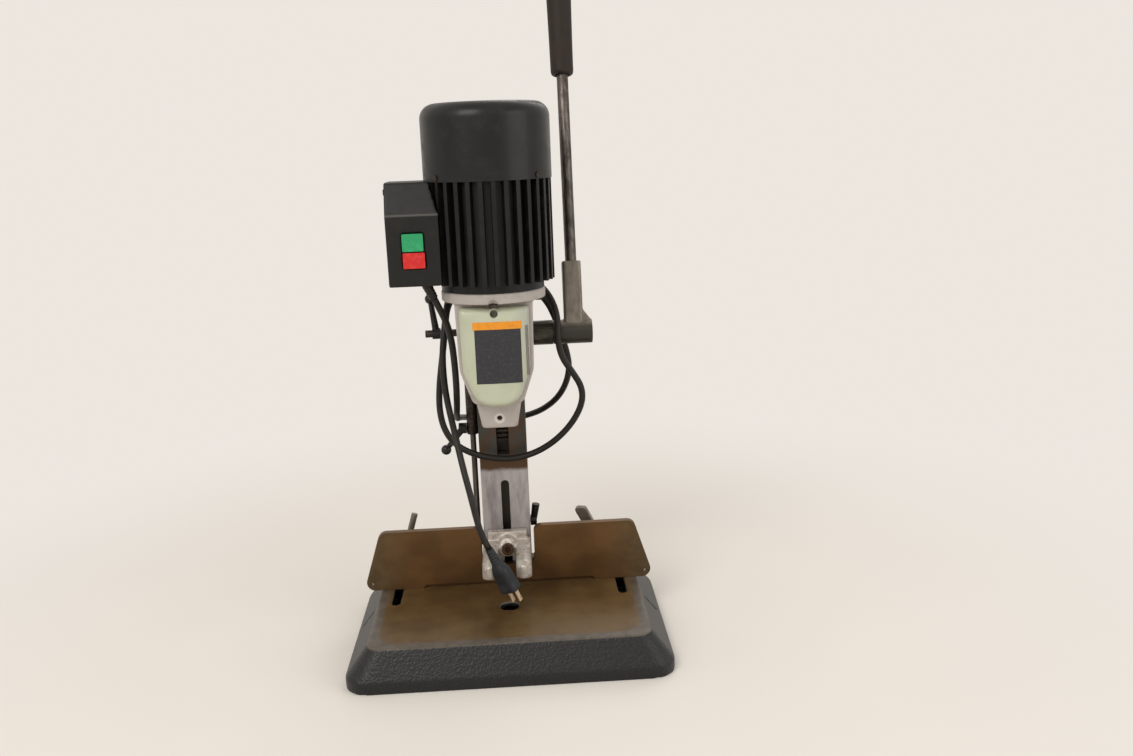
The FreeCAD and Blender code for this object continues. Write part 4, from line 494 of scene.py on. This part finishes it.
black_finish("cap_black", srgb(18, 18, 17), srgb(28, 27, 25), 0.38, 500, 0.00010, 0.3, coat=0.04)
black_finish("fin_black", srgb(14, 14, 14), srgb(26, 25, 23), 0.44, 600, 0.00012, 0.28)
box = black_finish("box_plastic", srgb(24, 23, 21), srgb(32, 30, 27), 0.48, 1500, 0.00014, 0.3)
CREASE_LOW, CREASE_HIGH, CREASE_SOFT, BOX_FRONT = 0.5772, 0.5808, 0.0012, -0.0742
# A pale line along the crease across the box's front: a painted highlight on the bend.
crease_highlight = box.math("SUBTRACT", box.band(box.axis("Z"), CREASE_LOW, CREASE_LOW + CREASE_SOFT),
                  box.band(box.axis("Z"), CREASE_HIGH - CREASE_SOFT, CREASE_HIGH))
crease_highlight = box.math("MULTIPLY", crease_highlight, box.band(box.axis("Y"), BOX_FRONT + 0.0007, BOX_FRONT))
box.colour(box.mix(box.math("MULTIPLY", crease_highlight, 0.6), box.tone(), srgb(98, 96, 92)))
black_finish("lever_plastic", srgb(24, 23, 22), srgb(40, 38, 36), 0.38, 900, 0.00008, 0.35)
black_finish("grip_rubber", srgb(34, 27, 22), srgb(52, 40, 31), 0.62, 900, 0.00022, 0.3)
black_finish("lead_rubber", srgb(28, 24, 21), srgb(46, 39, 33), 0.44, 1200, 0.00006, 0.32)
black_finish("plug_vinyl", srgb(34, 36, 40), srgb(46, 47, 50), 0.46, 1100, 0.00010, 0.32)
black_finish("start_green", srgb(34, 152, 96), srgb(52, 164, 110), 0.36, 1200, 0.00004, scale=150)
black_finish("stop_red", srgb(204, 30, 28), srgb(220, 60, 54), 0.36, 1200, 0.00004, scale=150)
black_finish("plate_black", srgb(38, 38, 42), srgb(58, 58, 62), 0.4, 900, 0.00003, scale=300)
black_finish("plate_amber", srgb(232, 148, 28), srgb(214, 132, 30), 0.42, 900, 0.00003, scale=200)
black_finish("plate_pale", srgb(124, 120, 112), srgb(96, 92, 86), 0.44, 900, 0.00003, scale=260)
print("finishes:", len(FINISHES))

# %% [markdown]
# ## Dressing the CAD pieces
# A solid whose shape is already right only needs its finish. A casting, though, has no knife edges:
# the next step replaces such pieces with softer copies.
# %% Give each node its finish
WEAR = {
    "base": ["base_casting"],
    "column": ["column"],
    "casting": ["head_casting"],
    "cover": ["front_cover"],
    "fence": ["fence_plate", "fence_brackets"],
    "holder": ["hold_down_fork"],
    "lever_steel": ["lever_rod", "depth_stop_rod"],
    "hub_steel": ["lever_hub"],
    "worn_steel": ["casting_screws", "fence_lever_left", "fence_lever_right", "depth_stop_collar"],
    "ground_steel": ["pinion_shaft", "chuck_body", "chuck_jaws", "rotor_shaft", "gas_spring_rod",
                     "motor_bearings"],
    "blade_brass": ["plug_blades"],
    "dark_steel": ["rack", "column_bolts", "rack_screws", "motor_bolts", "hold_down_nut",
                   "fence_bolts", "gas_spring_bridge", "hub_pin", "carriage_keepers", "depth_stop_sleeve",
                   "head_lock_stud", "chisel_set_screw", "pan_head_screws"],
    "rusty_bolt": ["hold_down_bolt"],
    "bronze": ["gib_strip"],
    "barrel_steel": ["pinion_bushes"],
    "stacked_steel": ["motor_stator", "rotor_core"],
    "copper_wire": ["motor_windings"],
    "cap_black": ["fan_cover", "gas_spring_tube"],
    "fin_black": ["motor_frame", "motor_end_bell", "cooling_fan", "switch_box_saddle"],
    "box_plastic": ["switch_box_cover", "switch_box_base", "switch_module"],
    "lever_plastic": ["head_lock_lever", "depth_lock_lever", "hold_down_lock"],
    "start_green": ["start_button"],
    "stop_red": ["stop_button"],
    "grip_rubber": ["lever_grip"],
    "lead_rubber": ["cord_gland", "cord_lead", "cord_loop", "cord_tail"],
    "plug_vinyl": ["plug_body"],
}


def wear(piece, finish):
    """Makes one finish the only material of a piece."""
    piece.data.materials.clear()
    piece.data.materials.append(FINISHES[finish])
    return piece


for finish_name, members in WEAR.items():
    for member in members:
        wear(nodes[member], finish_name)
wear(lead, "lead_rubber")
print("dressed:", sum(len(members) for members in WEAR.values()), "of", len(nodes))

# %% [markdown]
# ## Softer castings
# A copy of a casting's mesh is merged into one skin, rebuilt from small cubes of even size, and
# smoothed a little: flat faces stay flat, because each of their points already lies in the middle of
# its neighbours, and the edges turn round. Two copies are then sculpted by a formula: the cover gets
# its crown, and the arms of the hold-down fork get round backs and toes.
# %% Rebuild a solid with soft edges
WELD_DISTANCE = 1e-6


def soft_copy(node, body, voxel, rounds, finish, sculpt=None):
    """Smooth-edged copy of a solid, which then stands for it. The voxel is the size of the cubes in
    metres, the rounds are the smoothing steps, and sculpt moves the array of points, if it is given."""
    mesh = nodes[node].data.copy()
    welded = bmesh.new()
    welded.from_mesh(mesh)
    bmesh.ops.remove_doubles(welded, verts=welded.verts, dist=WELD_DISTANCE)
    welded.to_mesh(mesh)
    welded.free()
    carrier = bpy.data.objects.new(node + "_rough", mesh)
    bpy.context.scene.collection.objects.link(carrier)
    rebuild = carrier.modifiers.new("cubes", "REMESH")
    rebuild.mode = "VOXEL"
    rebuild.voxel_size = voxel
    relax = carrier.modifiers.new("relax", "SMOOTH")
    relax.factor = 0.5
    relax.iterations = rounds
    skin = bpy.data.meshes.new_from_object(carrier.evaluated_get(bpy.context.evaluated_depsgraph_get()))
    bpy.data.objects.remove(carrier)
    points = np.empty(len(skin.vertices) * 3)
    skin.vertices.foreach_get("co", points)
    points = points.reshape(-1, 3)
    if sculpt:
        skin.vertices.foreach_set("co", sculpt(points).ravel())
    skin.polygons.foreach_set("use_smooth", [True] * len(skin.polygons))
    skin.update()
    piece = bpy.data.objects.new("soft_" + node, skin)
    bpy.context.scene.collection.objects.link(piece)
    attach(piece, body)
    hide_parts(node)
    print(piece.name, sum(len(face.vertices) - 2 for face in skin.polygons), "triangles")
    return wear(piece, finish)


# %% Crown the cover and round the fork's arms
CROWN_HALF_WIDTH, CROWN_MIDDLE, CROWN_HALF_HEIGHT, CROWN_PUSH = 0.044, 0.402, 0.062, 0.0032
PRONG_MIDDLES, PRONG_HALF, PRONG_SINK, TOE_DRAW = (0.0215, -0.0235), 0.0105, 0.0045, 0.006


def climb(value, start, length):
    """Share that climbs straight from 0 at start to 1 a length further, and stays there."""
    return np.clip((value - start) / length, 0, 1)


def crown(points):
    """Pushes the front of the cover outwards: most at the middle, nothing at its outline. The push is
    1 - (x / half width)^2 across, times 1 - (height / half height)^4 up the cover."""
    x, y, z = points.T
    across = np.clip(1 - (x / CROWN_HALF_WIDTH) ** 2, 0, 1)
    upward = np.clip(1 - ((z - CROWN_MIDDLE) / CROWN_HALF_HEIGHT) ** 4, 0, 1)
    return np.stack([x, y - CROWN_PUSH * across * upward * climb(-y, 0.062, 0.010), z], axis=1)


def rounded_prongs(points):
    """Crowns the fork's arms. With u the distance from an arm's middle over half its width, the top
    sinks by u^2 times PRONG_SINK, and the toe draws back by u^2 times TOE_DRAW."""
    x, y, z = points.T
    u = np.where(x > 0, x - PRONG_MIDDLES[0], x - PRONG_MIDDLES[1]) / PRONG_HALF
    on_arm, on_top, on_toe = climb(-y, -0.034, 0.010), climb(z, 0.106, 0.008), climb(-y, 0.018, 0.012)
    return np.stack([x, y + TOE_DRAW * u ** 2 * on_toe, z - PRONG_SINK * u ** 2 * on_top * on_arm], axis=1)


# %% Replace the castings and mouldings by their soft copies
soft_copy("head_casting", "head", 0.0016, 4, "casting")
soft_cover = soft_copy("front_cover", "head", 0.0010, 6, "cover", crown)
soft_copy("lever_hub", "feed_lever", 0.0011, 5, "hub_steel")
soft_copy("hold_down_fork", "hold_down", 0.0010, 30, "holder", rounded_prongs)
soft_copy("switch_box_cover", "head", 0.0013, 4, "box_plastic")
soft_copy("base_casting", "base", 0.0021, 7, "base")
soft_copy("fence_lever_right", "fence_lever_right", 0.0009, 6, "worn_steel")

# %% [markdown]
# ## Blank plates on the cover
# Three plain stickers lie on the cover: an amber band over a dark panel, and a narrow strip near the
# right corner. Each is a thin grid of points that follows the cover's skin: the skin's depth at a
# point is the mean of its six nearest skin points in the front view, each weighed by one over its
# squared distance, and the sticker lies a fifth of a millimetre before it.
# %% Lay the plates on the skin
PLATE_LIFT = 0.0002
NEIGHBOURS = 6
OUTWARD = -0.3
skin_points = np.empty(len(soft_cover.data.vertices) * 3)
soft_cover.data.vertices.foreach_get("co", skin_points)
skin_normals = np.empty(len(skin_points))
soft_cover.data.vertices.foreach_get("normal", skin_normals)
outer_skin = skin_points.reshape(-1, 3)[skin_normals.reshape(-1, 3)[:, 1] < OUTWARD]


def plate(name, left, right, low, high, finish, steps=25):
    """Sticker between four edges, in metres, laid on the cover."""
    x, z = np.meshgrid(np.linspace(left, right, steps), np.linspace(low, high, steps))
    square = (x.reshape(-1, 1) - outer_skin[:, 0]) ** 2 + (z.reshape(-1, 1) - outer_skin[:, 2]) ** 2
    nearest = np.argpartition(square, NEIGHBOURS, axis=1)[:, :NEIGHBOURS]
    weight = 1 / (np.take_along_axis(square, nearest, axis=1) + 1e-8)
    depth = (weight * outer_skin[nearest, 1]).sum(axis=1) / weight.sum(axis=1) - PLATE_LIFT
    skin_grid = np.stack([x, depth.reshape(x.shape), z], axis=-1)
    sticker = grid_piece(name, skin_grid, "head", wrap=False, caps=False)
    return wear(sticker, finish)


plate("blank_amber_band", -0.0266, 0.0330, 0.4385, 0.4478, "plate_amber")
plate("blank_dark_panel", -0.0247, 0.0316, 0.3713, 0.4385, "plate_black")
plate("blank_side_strip", 0.0370, 0.0408, 0.3790, 0.4420, "plate_pale")

# %% [markdown]
# ## The grip
# The grip is a turned form round the lever rod: a dark opening at its foot, a rounded rim, a slow
# swell, then a shoulder and a narrower rounded end. The rod leans back, so a height on it becomes a
# point by the lean's sine and cosine.
# %% Turn the grip
LEVER_X, PINION_Y, PINION_Z, LEAN = 0.102, 0.030, 0.413, math.radians(12.2)


def on_lever(height):
    """Point on the lever rod at a height from the pinion's axis, in metres."""
    return np.array([LEVER_X, PINION_Y + height * math.sin(LEAN), PINION_Z + height * math.cos(LEAN)])


GRIP_FOOT, GRIP_TOP, GRIP_SIDES = 0.337, 0.457, 56
GRIP_PROFILE = np.array([
    # share of the grip's length, radius in millimetres
    (0.040, 7.7), (0.036, 8.6), (0.010, 9.2), (0.001, 9.8), (0.000, 11.0), (0.003, 12.6), (0.012, 13.9),
    (0.028, 14.7), (0.050, 15.0), (0.250, 15.2), (0.500, 15.6), (0.750, 16.1), (0.850, 16.4), (0.880, 16.5),
    (0.900, 16.3), (0.914, 15.6), (0.922, 14.5), (0.930, 13.8), (0.950, 13.5), (0.968, 13.0), (0.983, 11.6),
    (0.993, 9.2), (0.999, 5.5), (1.000, 1.0),
])
fine = np.linspace(0, len(GRIP_PROFILE) - 1, 4 * len(GRIP_PROFILE))
steps_of_profile = np.arange(len(GRIP_PROFILE))
grip_along = np.interp(fine, steps_of_profile, GRIP_PROFILE[:, 0])
grip_radius = np.interp(fine, steps_of_profile, GRIP_PROFILE[:, 1]) / 1000
grip = grid_piece("moulded_grip", lathe_grid(on_lever(GRIP_FOOT), on_lever(GRIP_TOP), grip_along,
                                             grip_radius, GRIP_SIDES), "feed_lever")
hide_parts("lever_grip")
wear(grip, "grip_rubber")

# %% [markdown]
# ## The strain reliefs and the plug
# The gland under the switch box is a ribbed cone. The plug is a row of rounded sections along its
# axis: a superellipse, |x / a|^n + |y / b|^n = 1, is round for n = 2 and nearly square for n = 5. Ribs
# on its neck are a cosine laid over the section's size.
# %% Mould the gland
GLAND_TOP, GLAND_END = (-0.082, -0.059, 0.4995), (-0.073, -0.050, 0.477)
GLAND_RADIUS, GLAND_TAPER, GLAND_GROOVE, GLAND_GROOVES = 0.0065, 0.0009, 0.0005, 6
GLAND_SIDES = 36
rib_along = np.linspace(0, 1, 61)
in_groove = np.cos(2 * np.pi * GLAND_GROOVES * rib_along) < -0.2
rib_radius = GLAND_RADIUS - GLAND_TAPER * rib_along - GLAND_GROOVE * in_groove
gland = grid_piece("ribbed_gland", lathe_grid(GLAND_TOP, GLAND_END, rib_along, rib_radius, GLAND_SIDES), "head")
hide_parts("cord_gland")
wear(gland, "lead_rubber")

# %% Mould the plug
PLUG_START, PLUG_END = np.array((-0.0225, -0.051, 0.146)), np.array((0.004, -0.050, 0.0875))
PLUG_ROLL = math.radians(40)
PLUG_GROOVE, PLUG_GROOVE_STEP = 0.0006, 0.06
plug_length = float(np.linalg.norm(PLUG_END - PLUG_START))
PLUG_SECTIONS = np.array([
    # share of the length, half width, half depth, squareness
    (0.00, 0.00525, 0.00525, 2.0), (0.30, 0.0072, 0.0066, 2.0), (0.36, 0.0078, 0.0070, 2.2),
    (0.45, 0.0108, 0.0084, 2.6), (0.54, 0.0125, 0.0092, 3.2), (0.66, 0.0126, 0.0091, 3.6),
    (0.80, 0.0122, 0.0090, 4.0), (0.90, 0.0133, 0.0098, 4.2), (0.975, 0.0135, 0.0100, 4.4),
    (0.995, 0.0131, 0.0096, 4.4), (1.00, 0.0122, 0.0087, 4.4),
])
plug_share = np.unique(np.concatenate([np.linspace(0, 0.36, 64), np.linspace(0.36, 0.96, 40),
                                       np.linspace(0.96, 1, 12)]))
half_width, half_depth, square = (np.interp(plug_share, PLUG_SECTIONS[:, 0], values)
                                  for values in PLUG_SECTIONS.T[1:])
on_neck = (plug_share > 0.02) * (plug_share < 0.33)
groove = PLUG_GROOVE * (np.cos(2 * np.pi * plug_share / PLUG_GROOVE_STEP) < -0.1) * on_neck
around = full_turn(64)
power = 2 / square[:, None]
section_x = (half_width - groove)[:, None] * np.sign(np.cos(around)) * np.abs(np.cos(around)) ** power
section_y = (half_depth - groove)[:, None] * np.sign(np.sin(around)) * np.abs(np.sin(around)) ** power
section_z = np.broadcast_to((plug_share * plug_length)[:, None], section_x.shape)
local = np.stack([section_x, section_y, section_z], -1)
toward = Vector((PLUG_END - PLUG_START).tolist()).normalized()
plug_turn = Vector((0, 0, 1)).rotation_difference(toward).to_matrix() @ Matrix.Rotation(PLUG_ROLL, 3, "Z")
plug = grid_piece("moulded_plug", local @ np.array(plug_turn).T + PLUG_START, "base")
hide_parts("plug_body")
wear(plug, "plug_vinyl")
print("plug:", round(plug_length, 4), "m long")

# %% [markdown]
# ## Floor, sky and lamps
# A plain pale floor and a sky of the same tone melt into each other, so that no edge shows behind
# the machine. One large soft lamp stands high on the left, a weaker one fills from the right, and a
# third lights the top from behind.
# %% Lay the floor and its backdrop
BACKDROP = srgb(236, 230, 223)
floor_finish = Finish("pale_floor", roughness=0.9, specular=0.2)
floor_finish.colour(floor_finish.mix(floor_finish.noise(3, 2), srgb(243, 236, 227), srgb(248, 242, 233)))


def seen_rays(tree):
    """1 for the rays that show a background: from the camera, off a mirror, or through glass."""
    ray = tree.nodes.new("ShaderNodeLightPath")
    shares = [ray.outputs[name] for name in ("Is Camera Ray", "Is Glossy Ray", "Is Transmission Ray")]
    while len(shares) > 1:
        either = tree.nodes.new("ShaderNodeMath")
        either.operation = "MAXIMUM"
        tree.links.new(shares.pop(), either.inputs[0])
        tree.links.new(shares.pop(), either.inputs[1])
        shares.append(either.outputs[0])
    return shares[0]


def fade_to_backdrop(finish, near, far):
    """Away from the machine the floor shows the backdrop's own colour to seen rays; its distance from
    the origin sets the share, so the shadow near the machine stays."""
    square = finish.math("ADD", finish.math("MULTIPLY", finish.axis("X"), finish.axis("X")),
                         finish.math("MULTIPLY", finish.axis("Y"), finish.axis("Y")))
    share = finish.math("MULTIPLY", finish.band(finish.math("SQRT", square), near, far), seen_rays(finish.tree))
    glow = finish.tree.nodes.new("ShaderNodeEmission")
    glow.inputs["Color"].default_value = BACKDROP
    both = finish.tree.nodes.new("ShaderNodeMixShader")
    finish.link(share, both.inputs[0])
    finish.link(finish.shader.outputs[0], both.inputs[1])
    finish.link(glow.outputs[0], both.inputs[2])
    finish.link(both.outputs[0], finish.tree.nodes["Material Output"].inputs["Surface"])


FADE_FROM, FADE_FULL, FLOOR_RADIUS = 0.30, 1.2, 9.0
fade_to_backdrop(floor_finish, FADE_FROM, FADE_FULL)


def floor_grid(radius, rings=24, steps=96):
    """Flat disc: rings at growing radii, each point at (radius cos a, radius sin a, 0)."""
    radii = np.linspace(0.001, radius, rings)[:, None]
    turn = full_turn(steps)[None]
    return np.stack([radii * np.cos(turn), radii * np.sin(turn), np.zeros_like(radii * turn)], axis=-1)


floor_mesh = bpy.data.meshes.new("floor")
disc = floor_grid(FLOOR_RADIUS)
ring_count, step_count = disc.shape[:2]
order = np.arange(ring_count * step_count).reshape(ring_count, step_count)
beside = np.roll(order, -1, axis=1)
floor_faces = np.stack([order[:-1], order[1:], beside[1:], beside[:-1]], axis=-1).reshape(-1, 4).tolist()
floor_faces.append(order[0].tolist())
floor_mesh.from_pydata(disc.reshape(-1, 3).tolist(), [], floor_faces)
floor = bpy.data.objects.new("floor", floor_mesh)
floor.data.materials.append(floor_finish.material)
bpy.context.scene.collection.objects.link(floor)

# %% Light the room
world = bpy.data.worlds.new("soft_room")
bpy.context.scene.world = world
world.use_nodes = True
sky = world.node_tree
seen = sky.nodes.new("ShaderNodeBackground")
seen.inputs["Color"].default_value = BACKDROP
lit = sky.nodes["Background"]
lit.inputs["Color"].default_value = (1.0, 0.975, 0.94, 1.0)
lit.inputs["Strength"].default_value = 0.55
blend_rays = sky.nodes.new("ShaderNodeMixShader")
sky.links.new(seen_rays(sky), blend_rays.inputs[0])
sky.links.new(lit.outputs[0], blend_rays.inputs[1])
sky.links.new(seen.outputs[0], blend_rays.inputs[2])
sky.links.new(blend_rays.outputs[0], sky.nodes["World Output"].inputs["Surface"])


def soft_lamp(name, place, aim, size, watts, tint):
    """Square lamp that faces a point."""
    data = bpy.data.lights.new(name, "AREA")
    data.size = size
    data.energy = watts
    data.color = tint
    lamp = bpy.data.objects.new(name, data)
    lamp.location = place
    lamp.rotation_mode = "QUATERNION"
    lamp.rotation_quaternion = (Vector(aim) - Vector(place)).to_track_quat("-Z", "Y")
    bpy.context.scene.collection.objects.link(lamp)


soft_lamp("key_lamp", (-1.1, -1.9, 2.0), (0, 0, 0.35), 1.4, 30, (1.0, 0.97, 0.93))
soft_lamp("fill_lamp", (1.9, -1.2, 1.1), (0, 0, 0.35), 1.6, 12, (0.95, 0.97, 1.0))
soft_lamp("back_lamp", (0.6, 1.6, 1.9), (0, 0, 0.4), 1.2, 7, (1.0, 0.98, 0.95))
print("lamps:", len(bpy.data.lights))
